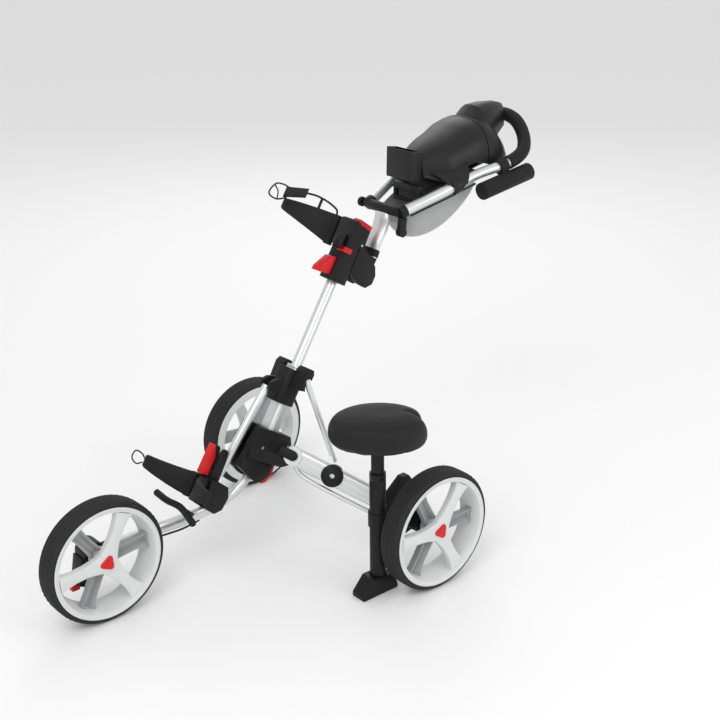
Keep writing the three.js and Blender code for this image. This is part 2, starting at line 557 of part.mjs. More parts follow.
const cableLine = [V(64, 186, 792), V(76, 226, 806), V(90, 268, 821), V(104, 315, 838), V(112, 352, 850)];
function consoleBody() {
  const floor = slab([[236, 832], [330, 856], [400, 872], [478, 887], [478, 893], [400, 878], [330, 862],
    [236, 839]], -60, 60);
  const frontPlate = slab([[230, 806], [237, 806], [246, 850], [230, 850]], -46, 46);
  const frontFrame = cut(frontPlate, block(-38, 38, 220, 250, 815, 834));
  const rearHood = hood([[413, 98, 884, 986], [440, 97, 872, 985], [466, 95, 864, 968],
    [492, 80, 862, 936]], 4);
  const pod = hood([[419, 60, 900, 984], [446, 58, 910, 1011], [480, 46, 925, 1014],
    [512, 32, 938, 1012], [542, 20, 950, 1004]], 4);
  const web = slab([[436, 877], [474, 884], [474, 930], [436, 950]], -70, 70);
  const clips = [1, -1].flatMap((sign) => [
    rod(19, V(sign * 94, 292, 847), V(sign * 100, 312, 854), 14),
    block(Math.min(sign * 56, sign * 84), Math.max(sign * 56, sign * 84), 294, 310, 842, 857)]);
  const tubes = bend(SIDE_TUBE_RADIUS + 1, loopPart(0.004, 0.996, 36), 36, 12);
  const gripHole = bend(GRIP_RADIUS + 0.6, loopPart(0.42, 0.58, 8), 8, 12);
  const leverRoom = block(-11, 11, 462, 536, 916, 951);
  return cut(join(floor, frontFrame, rearHood, pod, web, ...clips), tubes, gripHole, leverRoom,
    bend(3.4, cableLine, 8, 8));
}
piece(trolley, 'console_body', consoleBody(), BLACK);
piece(trolley, 'console_lid', hood([[243, 46, 872, 918], [268, 56, 876, 930], [294, 78, 868, 942],
  [312, 84, 870, 949], [336, 84, 884, 958], [372, 92, 894, 974], [411, 98, 886, 986]], 4), BLACK);
piece(trolley, 'card_holder', cut(slab([[204, 866], [240, 862], [240, 932], [206, 938]], -44, 44),
  block(-39, 39, 210, 234, 874, 960)), BLACK);
piece(trolley, 'brake_lever', slab([[470, 938], [480, 925], [502, 932], [526, 939], [528, 946], [500, 940]],
  -9, 9), RED);

// Each ring of the net hangs as a rounded U between the side tubes.
function netRing(y, half, top, bottom) {
  const steps = 8;
  return Array.from({ length: steps + 1 }, (_, i) => {
    const a = (Math.PI * i) / steps;
    return V(half * Math.cos(a), y, top - (top - bottom) * Math.sin(a) ** 0.8);
  });
}
function net() {
  const line = (y) => 788 + (y - 177) * 0.345;
  const stations = [[188, 46, 762], [212, 56, 728], [250, 66, 716], [300, 76, 724], [345, 80, 750],
    [385, 76, 788], [404, 60, 822]];
  const wall = 3;
  const outer = loft(stations.map(([y, half, low]) => netRing(y, half, line(y), low)));
  const inner = loft(stations.map(([y, half, low], i) => netRing(
    i === 0 ? y + wall : i === stations.length - 1 ? y - wall : y, half - wall, line(y) + 3, low + wall)));
  return cut(outer, inner);
}
piece(trolley, 'net', net(), MESH_GREY);

const HOLDER_LINE = [V(140, 345, 837), V(140, 506, 860)];
function accessoryHolder() {
  const ring = rod(18, V(121.5, 416, 880), V(123.5, 440, 885), 14);
  const neck = block(122, 140, 418, 438, 858, 884);
  return cut(join(rod(21, ...HOLDER_LINE, 16), ring, neck),
    bend(SIDE_TUBE_RADIUS + 1.3, loopPart(0.004, 0.4, 16), 16, 12));
}
piece(trolley, 'accessory_holder', accessoryHolder(), BLACK);
piece(trolley, 'upper_brake_cable', bend(2.5, cableLine, 8, 8), BLACK);

// ---------------------------------------------------------------- seat
function seatPad() {
  const axis = THREE.MathUtils.degToRad(SEAT.yaw);
  const outline = Array.from({ length: 20 }, (_, i) => {
    const a = (2 * Math.PI * i) / 20;
    const notch = 1 - 0.14 * Math.exp(-(((a - 0.62) / 0.3) ** 2));
    return [112 * notch * Math.cos(a), 86 * notch * Math.sin(a)];
  });
  const ring = (scale, z) => outline.map(([u, v]) => V(
    SEAT.x + 4 + scale * (u * Math.cos(axis) - v * Math.sin(axis)),
    SEAT.y + scale * (u * Math.sin(axis) + v * Math.cos(axis)), z));
  return loft([ring(0.88, 379), ring(0.97, 384), ring(1, 396), ring(1, 424), ring(0.95, 438),
    ring(0.8, 445)]);
}
piece(trolley, 'seat_pad', seatPad(), FOAM);
const seatAxis = (z) => V(SEAT.x, SEAT.y, z);
piece(trolley, 'seat_post', rod(SEAT.postRadius, seatAxis(70), seatAxis(378.7), 14), BLACK);
piece(trolley, 'seat_sleeve', cut(rod(SEAT.sleeveRadius, seatAxis(36), seatAxis(305), 16),
  rod(SEAT.postRadius + GAP, seatAxis(66), seatAxis(320), 14)), BLACK);
const footRing = (x0, x1, y0, y1, z) => [V(x0, y0, z), V(x1, y0, z), V(x1, y1, z), V(x0, y1, z)];
piece(trolley, 'seat_foot', cut(loft([footRing(268, 309, -178, -74, 0), footRing(268, 309, -178, -74, 12),
  footRing(266, 309, -146, -90, 44)]),
rod(SEAT.sleeveRadius + GAP, seatAxis(35.7), seatAxis(60), 16)), BLACK);
function seatBracket() {
  const { axis, length, point } = legs.left;
  const plate = slab([[-100, 150], [-100, 214], [-38, 264], [-20, 264], [4, 232], [24, 176], [16, 126],
    [-40, 112], [-72, 132]], 268, 286);
  const clasp = rod(SEAT.sleeveRadius + 3.5, seatAxis(170), seatAxis(206), 16);
  const legHole = bar(rounded(LEG.thick + 8 + 2 * GAP, LEG.height + 8 + 2 * GAP, 12.3), point(length - 80),
    point(length + 10), axis);
  const hubHole = rod(27 + GAP, V(280, 0, AXLE_HEIGHT), V(330, 0, AXLE_HEIGHT), 20);
  const sleeveHole = rod(SEAT.sleeveRadius + GAP, seatAxis(100), seatAxis(300), 16);
  return cut(join(plate, clasp), legHole, hubHole, sleeveHole);
}
piece(trolley, 'seat_bracket', seatBracket(), BLACK);

// ---------------------------------------------------------------- origin under the middle of the trolley
trolley.updateMatrixWorld(true);
const bounds = new THREE.Box3().setFromObject(trolley, true);
trolley.position.set(-(bounds.min.x + bounds.max.x) / 2, -(bounds.min.y + bounds.max.y) / 2, -bounds.min.z);

export default trolley;
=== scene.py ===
"""Looks for a three-wheel golf push trolley with a clamp-on seat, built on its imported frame."""
import json
import math

import bmesh
import bpy
from mathutils import Matrix, Vector


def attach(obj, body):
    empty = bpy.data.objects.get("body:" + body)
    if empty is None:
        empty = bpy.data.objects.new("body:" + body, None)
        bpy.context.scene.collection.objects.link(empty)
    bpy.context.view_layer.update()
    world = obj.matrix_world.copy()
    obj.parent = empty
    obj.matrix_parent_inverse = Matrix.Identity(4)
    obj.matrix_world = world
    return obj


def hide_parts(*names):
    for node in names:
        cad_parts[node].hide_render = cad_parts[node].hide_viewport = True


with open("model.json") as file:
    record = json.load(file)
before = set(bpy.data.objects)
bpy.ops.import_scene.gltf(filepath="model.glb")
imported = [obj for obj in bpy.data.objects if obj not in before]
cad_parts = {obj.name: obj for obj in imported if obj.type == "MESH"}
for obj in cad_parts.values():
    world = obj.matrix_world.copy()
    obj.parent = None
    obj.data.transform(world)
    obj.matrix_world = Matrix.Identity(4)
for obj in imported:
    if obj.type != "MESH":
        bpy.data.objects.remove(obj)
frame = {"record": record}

bl_info = {
    "name": "Golf push trolley",
    "version": (1, 0, 0),
    "blender": (4, 5, 0),
    "location": "View3D > Sidebar > Trolley",
    "description": "Wheels, tubes, moulded parts, net and seat of a folding golf trolley",
    "category": "Object",
}

MM = 0.001
LAYOUT = Vector((-4.4423, 107.6919, 0.0))  # moves the layout origin under the middle of the whole box
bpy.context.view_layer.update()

# The sloping column's own axes: up the tube, and out of its back.
UP_TUBE = Vector((0.0, 0.5240, 0.8517))
TUBE_BACK = Vector((0.0, 0.8517, -0.5240))
COLUMN_ORIGIN = Vector((0.0, -117.0, 474.0))


def row(x, y, z):
    """A point of the layout, in millimetres, as a point of the row frame in metres."""
    return (Vector((x, y, z)) + LAYOUT) * MM


def from_column(x, y, z):
    """A layout point given across, behind and along the sloping column."""
    return COLUMN_ORIGIN + Vector((x, 0, 0)) + TUBE_BACK * y + UP_TUBE * z


def on_column(x, y, z):
    """The same, as a point of the row frame."""
    return row(*from_column(x, y, z))


# ---------------------------------------------------------------- curves and meshes
FINE_STEPS = 24


def smooth_line(points, count):
    """A centripetal Catmull-Rom curve through the points, as evenly spaced samples."""
    pts = [Vector(p) for p in points]
    chain = [pts[0] * 2 - pts[1]] + pts + [pts[-1] * 2 - pts[-2]]
    fine = []
    for a, b, c, d in zip(chain, chain[1:], chain[2:], chain[3:]):
        k0, k1, k2 = (max((q - p).length, 1e-9) ** 0.5 for p, q in ((a, b), (b, c), (c, d)))
        t0, t1 = 0.0, k0
        t2, t3 = t1 + k1, t1 + k1 + k2
        for i in range(FINE_STEPS):
            t = t1 + (t2 - t1) * i / FINE_STEPS
            a1 = a * ((t1 - t) / (t1 - t0)) + b * ((t - t0) / (t1 - t0))
            a2 = b * ((t2 - t) / (t2 - t1)) + c * ((t - t1) / (t2 - t1))
            a3 = c * ((t3 - t) / (t3 - t2)) + d * ((t - t2) / (t3 - t2))
            b1 = a1 * ((t2 - t) / (t2 - t0)) + a2 * ((t - t0) / (t2 - t0))
            b2 = a2 * ((t3 - t) / (t3 - t1)) + a3 * ((t - t1) / (t3 - t1))
            fine.append(b1 * ((t2 - t) / (t2 - t1)) + b2 * ((t - t1) / (t2 - t1)))
    fine.append(pts[-1].copy())
    run = [0.0]
    for p, q in zip(fine, fine[1:]):
        run.append(run[-1] + (q - p).length)
    out, k = [], 0
    for i in range(count + 1):
        want = run[-1] * i / count
        while k < len(run) - 2 and run[k + 1] < want:
            k += 1
        span = max(run[k + 1] - run[k], 1e-12)
        out.append(fine[k].lerp(fine[k + 1], min(max((want - run[k]) / span, 0), 1)))
    return out


def round_section(radius, sides=24):
    turn = 2 * math.pi / sides
    return [Vector((radius * math.cos(turn * i), radius * math.sin(turn * i))) for i in range(sides)]


def rounded_section(width, height, corner, steps=6):
    out = []
    w, h = width / 2 - corner, height / 2 - corner
    for quarter, (sx, sy) in enumerate(((1, 1), (-1, 1), (-1, -1), (1, -1))):
        for i in range(steps + 1):
            a = math.pi / 2 * (quarter + i / steps)
            out.append(Vector((sx * w + corner * math.cos(a), sy * h + corner * math.sin(a))))
    return out


def ribbed_section(width, height, corner, grooves, depth=0.7, opening=2.6):
    """A rounded oblong whose long sides carry shallow lengthwise grooves at the given heights."""
    half_w, half_h = width / 2, height / 2
    side = []
    slope = 0.9
    for g in grooves:
        side += [(half_w, g - opening), (half_w - depth, g - opening + slope),
                 (half_w - depth, g + opening - slope), (half_w, g + opening)]
    arc = [(half_w - corner + corner * math.cos(a), half_h - corner + corner * math.sin(a))
           for a in (math.pi / 2 * i / 8 for i in range(9))]
    right = side + arc
    left_top = [(-x, y) for x, y in reversed(right)]
    bottom_left = [(-x, -y) for x, y in right]
    bottom_right = [(x, -y) for x, y in reversed(right)]
    loop = right + left_top + bottom_left + bottom_right
    out = []
    for p in loop:
        if not out or (Vector(p) - out[-1]).length > 1e-4:
            out.append(Vector(p))
    return out


def new_piece(name, mesh):
    obj = bpy.data.objects.new(name, mesh)
    bpy.context.collection.objects.link(obj)
    return obj


def mesh_from(name, verts, faces, smooth_angle=40):
    mesh = bpy.data.meshes.new(name)
    mesh.from_pydata([tuple(v) for v in verts], [], faces)
    mesh.validate()
    finish_shading(mesh, smooth_angle)
    return mesh


def finish_shading(mesh, angle):
    mesh.polygons.foreach_set("use_smooth", [True] * len(mesh.polygons))
    mesh.set_sharp_from_angle(angle=math.radians(angle))
    mesh.update()


def skin(rings):
    """Vertices and faces through equal rings of points; the ends are fanned to their middles."""
    count = len(rings[0])
    verts = [p for ring in rings for p in ring]
    faces = []
    for r in range(len(rings) - 1):
        low, high = r * count, (r + 1) * count
        for i in range(count):
            j = (i + 1) % count
            faces.append((low + i, low + j, high + j, high + i))
    for start, flip in ((0, True), ((len(rings) - 1) * count, False)):
        middle = sum((Vector(verts[start + i]) for i in range(count)), Vector()) / count
        verts.append(middle)
        centre = len(verts) - 1
        for i in range(count):
            a, b = start + i, start + (i + 1) % count
            faces.append((centre, b, a) if flip else (centre, a, b))
    return verts, faces


def carry_frames(points, side=None):
    """An x and y axis at each point of a line, turned as little as possible from one to the next."""
    tangents = []
    for i in range(len(points)):
        a, b = points[max(i - 1, 0)], points[min(i + 1, len(points) - 1)]
        tangents.append((b - a).normalized())
    x = Vector(side) if side is not None else tangents[0].orthogonal()
    frames = []
    for t in tangents:
        x = (x - t * x.dot(t)).normalized()
        frames.append((x, t.cross(x)))
    return frames


def swept(points, section, side=None):
    """Verts and faces of a section carried along points, in layout millimetres, given back in metres."""
    points = [Vector(p) for p in points]
    rings = []
    for p, (x, y) in zip(points, carry_frames(points, side)):
        rings.append([row(*(p + x * s.x + y * s.y)) for s in section])
    return skin(rings)


def turned(profile, centre, axis, segments, closed_profile=True):
    """A profile of (along, radius) millimetres turned about an axis through a layout point."""
    axis = Vector(axis).normalized()
    x = axis.orthogonal().normalized()
    y = axis.cross(x)
    rings = []
    for i in range(segments):
        a = 2 * math.pi * i / segments
        out = x * math.cos(a) + y * math.sin(a)
        rings.append([row(*(Vector(centre) + axis * p + out * r)) for p, r in profile])
    count = len(profile)
    verts = [p for ring in rings for p in ring]
    faces = []
    spans = count if closed_profile else count - 1
    for r in range(segments):
        low, high = r * count, ((r + 1) % segments) * count
        for i in range(spans):
            j = (i + 1) % count
            faces.append((low + i, high + i, high + j, low + j))
    return verts, faces


def merged(*parts):
    """Several shapes as one set of verts and faces."""
    verts, faces = [], []
    for v, f in parts:
        base = len(verts)
        verts += list(v)
        faces += [tuple(i + base for i in face) for face in f]
    return verts, faces


def outward(mesh, weld=2e-5):
    """Welds doubled points and turns every face of a closed shape outwards."""
    bm = bmesh.new()
    bm.from_mesh(mesh)
    bmesh.ops.remove_doubles(bm, verts=bm.verts, dist=weld)
    bmesh.ops.dissolve_degenerate(bm, edges=bm.edges, dist=1e-7)
    bmesh.ops.recalc_face_normals(bm, faces=bm.faces)
    bm.to_mesh(mesh)
    bm.free()


def baked(obj):
    """Applies every modifier on a piece by keeping its evaluated mesh."""
    graph = bpy.context.evaluated_depsgraph_get()
    mesh = bpy.data.meshes.new_from_object(obj.evaluated_get(graph))
    mesh.name = obj.name
    obj.modifiers.clear()
    obj.data = mesh
    return obj


def bevelled(obj, width, segments=2, smooth=40):
    """Rounds every edge sharper than 32 degrees."""
    mod = obj.modifiers.new("edge", "BEVEL")
    mod.width, mod.segments = width * MM, segments
    mod.limit_method, mod.angle_limit = "ANGLE", math.radians(32)
    mod.use_clamp_overlap = True
    mod.miter_outer = "MITER_ARC"
    baked(obj)
    finish_shading(obj.data, smooth)


def settle(obj, material, slot, body, *nodes):
    """Gives a piece its material and body, and hides the CAD nodes it stands for; the record slot it is
    handed is not used.
    """
    if material:
        obj.data.materials.clear()
        obj.data.materials.append(material)
    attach(obj, body)
    if nodes:
        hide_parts(*nodes)


BODY_OF = {node: name for name, nodes in frame["record"]["behaviour"]["bodies"].items() for node in nodes}
SLOT_OF = {s["node"]: s["material_slot"] for s in frame["record"]["subparts"]}


def part(name, geometry, material, node=None, slot=None, body=None, edge=0.0, smooth=40):
    """A finished piece from verts and faces, with softened edges where a width is given.

    A piece that stands for a CAD node takes its body from the record; its slot is looked up there too, but
    nothing keeps it.
    """
    verts, faces = geometry
    mesh = mesh_from(name, verts, faces, smooth)
    outward(mesh)
    finish_shading(mesh, smooth)
    obj = new_piece(name, mesh)
    if edge:
        bevelled(obj, edge, smooth=smooth)
    nodes = (node,) if node else ()
    settle(obj, material, slot or SLOT_OF[node], body or BODY_OF[node], *nodes)


def moulded_copy(node, material, edge, smooth=40, segments=2):
    """A CAD node welded, its flat faces joined and its edges rounded as a moulding's are."""
    source = bpy.data.objects[node]
    mesh = source.data.copy()
    mesh.transform(source.matrix_world)
    bm = bmesh.new()
    bm.from_mesh(mesh)
    bmesh.ops.remove_doubles(bm, verts=bm.verts, dist=1e-5)
    bmesh.ops.dissolve_limit(bm, angle_limit=math.radians(1.5), verts=bm.verts, edges=bm.edges)
    bm.to_mesh(mesh)
    bm.free()
    obj = new_piece(node + "_shape", mesh)
    finish_shading(mesh, smooth)
    bevelled(obj, edge, segments, smooth)
    settle(obj, material, SLOT_OF[node], BODY_OF[node], node)


# ---------------------------------------------------------------- materials
def linear(hex_colour):
    """An sRGB hex colour as a linear RGBA tuple."""
    out = []
    for i in (0, 2, 4):
        c = int(hex_colour[i:i + 2], 16) / 255
        out.append(c / 12.92 if c <= 0.04045 else ((c + 0.055) / 1.055) ** 2.4)
    return (*out, 1.0)


def add_node(tree, kind, settings=None, links=None):
    """Adds a node, sets its properties and input values, and links inputs to earlier outputs."""
    made = tree.nodes.new(kind)
    for key, value in (settings or {}).items():
        if key in made.inputs:
            made.inputs[key].default_value = value
        else:
            setattr(made, key, value)
    for key, source in (links or {}).items():
        tree.links.new(source, made.inputs[key])
    return made


def surface(name, colour, roughness, metallic=0.0, grain_mm=0.6, bump=0.08, spread=0.12, tone=0.10,
            sheen=0.0, gleam=0.5):
    """A material with fine grain in its relief, and slow drifts of tone and gloss over the surface."""
    made = bpy.data.materials.new(name)
    made.use_nodes = True
    tree = made.node_tree
    tree.nodes.clear()
    place = add_node(tree, "ShaderNodeTexCoord").outputs["Object"]
    fine = add_node(tree, "ShaderNodeTexNoise", {"Scale": 1000 / grain_mm, "Detail": 3.0, "Roughness": 0.55},
                    {"Vector": place})
    slow = add_node(tree, "ShaderNodeTexNoise", {"Scale": 14.0, "Detail": 4.0, "Roughness": 0.6},
                    {"Vector": place})
    base = Vector(linear(colour)[:3])
    ramp = add_node(tree, "ShaderNodeValToRGB", None, {"Fac": slow.outputs["Fac"]})
    ramp.color_ramp.elements[0].position = 0.3
    ramp.color_ramp.elements[1].position = 0.7
    ramp.color_ramp.elements[0].color = (*(base * (1 - tone)), 1)
    ramp.color_ramp.elements[1].color = (*(base * (1 + tone)), 1)
    smoothest, roughest = max(roughness - spread / 2, 0.05), min(roughness + spread / 2, 1.0)
    gloss = add_node(tree, "ShaderNodeMapRange", {"To Min": smoothest, "To Max": roughest},
                     {"Value": slow.outputs["Fac"]})
    relief = add_node(tree, "ShaderNodeBump", {"Strength": bump, "Distance": 0.0004},
                      {"Height": fine.outputs["Fac"]})
    shader = add_node(tree, "ShaderNodeBsdfPrincipled",
                      {"Metallic": metallic, "Specular IOR Level": gleam, "Coat Roughness": 0.2,
                       "Sheen Weight": sheen, "Sheen Roughness": 0.5},
                      {"Base Color": ramp.outputs["Color"], "Roughness": gloss.outputs["Result"],
                       "Normal": relief.outputs["Normal"]})
    add_node(tree, "ShaderNodeOutputMaterial", None, {"Surface": shader.outputs["BSDF"]})
    return made


def woven_net(name, colour, hole):
    """Knitted polyester net: holes 2.6 mm apart, drawn coarser than the real ones so that they show."""
    made = surface(name, colour, 0.8, grain_mm=0.9, bump=0.2, tone=0.06, sheen=0.3)
    tree = made.node_tree
    shader = next(n for n in tree.nodes if n.type == "BSDF_PRINCIPLED")
    ramp = next(n for n in tree.nodes if n.type == "VALTORGB")
    place = add_node(tree, "ShaderNodeUVMap", {"uv_map": "UVMap"})
    cells = add_node(tree, "ShaderNodeTexVoronoi", {"Scale": 380.0, "Randomness": 0.15, "feature": "F1"},
                     {"Vector": place.outputs["UV"]})
    dots = add_node(tree, "ShaderNodeMapRange", {"From Min": 0.22, "From Max": 0.42},
                    {"Value": cells.outputs["Distance"]})
    mix = add_node(tree, "ShaderNodeMix", {"data_type": "RGBA"})
    tree.links.new(dots.outputs["Result"], mix.inputs[0])
    mix.inputs[6].default_value = linear(hole)
    tree.links.new(ramp.outputs["Color"], mix.inputs[7])
    tree.links.new(mix.outputs[2], shader.inputs["Base Color"])
    dip = add_node(tree, "ShaderNodeBump", {"Strength": 0.08, "Distance": 0.0003},
                   {"Height": dots.outputs["Result"]})
    tree.links.new(dip.outputs["Normal"], shader.inputs["Normal"])
    return made


def pebbled(name, colour, roughness, cell_mm):
    """Vinyl or rubber with a pressed pebble grain."""
    made = surface(name, colour, roughness, grain_mm=0.5, bump=0.1, tone=0.12, gleam=0.22)
    tree = made.node_tree
    shader = next(n for n in tree.nodes if n.type == "BSDF_PRINCIPLED")
    place = next(n for n in tree.nodes if n.type == "TEX_COORD").outputs["Object"]
    cells = add_node(tree, "ShaderNodeTexVoronoi", {"Scale": 1000 / cell_mm, "feature": "DISTANCE_TO_EDGE"},
                     {"Vector": place})
    height = add_node(tree, "ShaderNodeMapRange", {"From Max": 0.14}, {"Value": cells.outputs["Distance"]})
    relief = add_node(tree, "ShaderNodeBump", {"Strength": 0.35, "Distance": 0.0004},
                      {"Height": height.outputs["Result"]})
    tree.links.new(relief.outputs["Normal"], shader.inputs["Normal"])
    return made


FINISH = {}


def hexed(colour):
    return "".join("%02x" % round(255 * min(max(c, 0), 1)) for c in colour[:3])


def make_finishes():
    colours = bpy.context.scene.trolley_colours
    plastic = hexed(colours.plastic)
    # Anodised aluminium: pale and satin, with the faint grain of the drawn tube.
    FINISH["tube"] = surface("anodised_aluminium", hexed(colours.tube), 0.34, 0.75, grain_mm=0.8, bump=0.05,
                             spread=0.1, tone=0.03)
    # Glass-filled nylon, moulded against a spark-eroded tool: even fine grain and a soft sheen.
    FINISH["nylon"] = surface("moulded_nylon", plastic, 0.48, grain_mm=0.7, bump=0.18, spread=0.14, tone=0.16,
                              gleam=0.2)
    # ABS moulded against a smoother tool: a little glossier than the brackets.
    FINISH["hood"] = surface("satin_abs", plastic, 0.42, grain_mm=0.9, bump=0.10, spread=0.1, gleam=0.3)
    # Acetal coloured through and moulded: bright and smooth, with a low waxy gloss.
    FINISH["red"] = surface("red_acetal", hexed(colours.red), 0.38, grain_mm=0.9, bump=0.05, spread=0.1,
                            tone=0.06, gleam=0.35)
    # ABS from a polished tool: pale grey, satin and very even.
    FINISH["rim"] = surface("pale_grey_abs", hexed(colours.rim), 0.42, grain_mm=0.9, bump=0.06, tone=0.025)
    # The hollow spokes of the same moulding get a darker grey: painted shade for the shade in their deep
    # channels.
    FINISH["rim_back"] = surface("pale_grey_abs_hollow", "9a9d9d", 0.55, grain_mm=0.9, tone=0.05)
    # Polyurethane foamed in its mould: matt, with a slightly open skin.
    FINISH["tyre"] = surface("foamed_polyurethane_tyre", "2b2b2c", 0.75, grain_mm=1.2, bump=0.35, tone=0.14,
                             gleam=0.2)
    # Rubber moulded over a stiff core: soft, matt and slightly uneven.
    FINISH["rubber"] = surface("soft_touch_rubber", "1d1d1e", 0.62, grain_mm=0.8, bump=0.25, tone=0.12,
                               gleam=0.2)
    # PVC-coated cloth, embossed with a pebble grain between hot rollers: small soft highlights.
    FINISH["vinyl"] = pebbled("embossed_vinyl", "1c1c1d", 0.5, 1.3)
    # Polyester yarn knitted into a close net: matt grey, a little darker at each hole.
    FINISH["net"] = woven_net("knitted_polyester_net", "a4a6a5", "9d9f9e")
    # Powder coat baked on steel: a faint orange peel.
    FINISH["powder"] = surface("black_powder_coat", "141415", 0.4, bump=0.2, grain_mm=1.0, gleam=0.25)
    # Steel pins, axles and rivets, zinc plated: a grey, slightly cloudy metal.
    FINISH["steel"] = surface("zinc_plated_steel", "a9acae", 0.3, 0.9, grain_mm=0.7, bump=0.06, tone=0.06)
    # Elastic braided from polyester over rubber: matt black with a rough weave.
    FINISH["cord"] = surface("braided_elastic_cord", "1b1b1c", 0.75, grain_mm=0.8, bump=0.5, tone=0.12,
                             gleam=0.2)
    # PVC extruded over the brake wire: smooth satin black.
    FINISH["cable"] = surface("pvc_cable_sheath", "18181a", 0.42, grain_mm=0.8, tone=0.08, gleam=0.3)


# ---------------------------------------------------------------- repeats
def repeat_tree():
    """Puts a small piece on every point, turned by the point's own angle."""
    tree = bpy.data.node_groups.new("repeat_on_points", "GeometryNodeTree")
    face = tree.interface
    face.new_socket("Geometry", in_out="INPUT", socket_type="NodeSocketGeometry")
    face.new_socket("Piece", in_out="INPUT", socket_type="NodeSocketObject")
    face.new_socket("Size", in_out="INPUT", socket_type="NodeSocketFloat").default_value = 1.0
    face.new_socket("Finish", in_out="INPUT", socket_type="NodeSocketMaterial")
    face.new_socket("Geometry", in_out="OUTPUT", socket_type="NodeSocketGeometry")
    entry = add_node(tree, "NodeGroupInput")
    shape = add_node(tree, "GeometryNodeObjectInfo", {"transform_space": "ORIGINAL"},
                     {"Object": entry.outputs["Piece"]})
    turn = add_node(tree, "GeometryNodeInputNamedAttribute", {"data_type": "FLOAT_VECTOR", "Name": "turn"})
    euler = add_node(tree, "FunctionNodeEulerToRotation", None, {"Euler": turn.outputs["Attribute"]})
    put = add_node(tree, "GeometryNodeInstanceOnPoints", None,
                   {"Points": entry.outputs["Geometry"], "Instance": shape.outputs["Geometry"],
                    "Rotation": euler.outputs["Rotation"], "Scale": entry.outputs["Size"]})
    real = add_node(tree, "GeometryNodeRealizeInstances", None, {"Geometry": put.outputs["Instances"]})
    paint = add_node(tree, "GeometryNodeSetMaterial", None,
                     {"Geometry": real.outputs["Geometry"], "Material": entry.outputs["Finish"]})
    add_node(tree, "NodeGroupOutput", None, {"Geometry": paint.outputs["Geometry"]})
    return tree


def repeated(name, shape, places, material, slot, body, size=1.0):
    """One mesh of a small piece repeated at (point, axes matrix) places; points are in the row frame."""
    tree = bpy.data.node_groups.get("repeat_on_points") or repeat_tree()
    mesh = bpy.data.meshes.new(name)
    mesh.from_pydata([tuple(p) for p, _ in places], [], [])
    turn = mesh.attributes.new("turn", "FLOAT_VECTOR", "POINT")
    for i, (_, axes) in enumerate(places):
        turn.data[i].vector = axes.to_euler("XYZ")
    obj = new_piece(name, mesh)
    mod = obj.modifiers.new("repeat", "NODES")
    mod.node_group = tree
    sockets = {s.name: s.identifier for s in tree.interface.items_tree if s.in_out == "INPUT"}
    mod[sockets["Piece"]] = shape
    mod[sockets["Size"]] = size
    mod[sockets["Finish"]] = material
    baked(obj)
    finish_shading(obj.data, 35)
    settle(obj, None, slot, body)


def facing(normal):
    """Axes with Z along a level normal."""
    z = Vector(normal).normalized()
    x = Vector((0, 0, 1)).cross(z).normalized()
    return Matrix((x, z.cross(x), z)).transposed()


def small_block(name, size):
    """A loose box about its own origin, kept only while it is being repeated."""
    made = bmesh.new()
    bmesh.ops.create_cube(made, size=MM, matrix=Matrix.Diagonal((*size, 1)))
    mesh = bpy.data.meshes.new(name)
    made.to_mesh(mesh)
    made.free()
    finish_shading(mesh, 35)
    return new_piece(name, mesh)


def small_turning(name, profile, sides):
    """A loose turned shape about its own Z axis, kept only while it is being repeated."""
    verts, faces = skin([[Vector((*p, height)) * MM for p in round_section(radius, sides)]
                         for height, radius in profile])
    mesh = mesh_from(name, verts, faces, 35)
    outward(mesh)
    return new_piece(name, mesh)


def dispose(obj):
    mesh = obj.data
    bpy.data.objects.remove(obj)
    bpy.data.meshes.remove(mesh)


# ---------------------------------------------------------------- sizes shared by several pieces
LEG_HINGE = Vector((50, -171, 275.4))
LEG_END = Vector((303, -1.3, 147))
SIDE_LINE = [(58, 168, 805), (86, 264, 838), (110, 361, 871), (125, 452, 888), (116, 508, 905),
             (82, 546, 933), (42, 560, 962)]
LOOP_LINE = SIDE_LINE + [(0, 561, 972)] + [(-x, y, z) for x, y, z in reversed(SIDE_LINE)]
# Each wheel's centre, the side its face looks to, how far it is turned, and its body.
WHEELS = {"front": ((-32, -647, 146), 1, -0.436, "front_wheel"),
          "left": ((351, 0, 146), 1, -0.58, "left_wheel"),
          "right": ((-351, 0, 146), -1, -0.4, "right_wheel")}


def leg_axes(sign):
    """A rear leg's hinge, its direction, its hinge axis, its upper side and its length."""
    hinge = Vector((sign * LEG_HINGE.x, LEG_HINGE.y, LEG_HINGE.z))
    end = Vector((sign * LEG_END.x, LEG_END.y, LEG_END.z))
    out = (end - hinge).normalized()
    axis = out.cross(-UP_TUBE).normalized()
    up = out.cross(axis).normalized()
    if up.z < 0:
        up.negate()
    return hinge, out, axis, up, (end - hinge).length


def loop_part(low, high, count):
    """The stretch of the handle loop between two shares of its whole length."""
    line = smooth_line(LOOP_LINE, 400)
    return smooth_line([line[round(400 * (low + (high - low) * i / 40))] for i in range(41)], count)


# ---------------------------------------------------------------- wheels
def wheel_point(centre, outer, x, radius, angle):
    """A point of a wheel: x is outwards from the trolley, the angle turns from behind towards the top."""
    return Vector(centre) + Vector((outer * x, outer * radius * math.cos(angle), radius * math.sin(angle)))


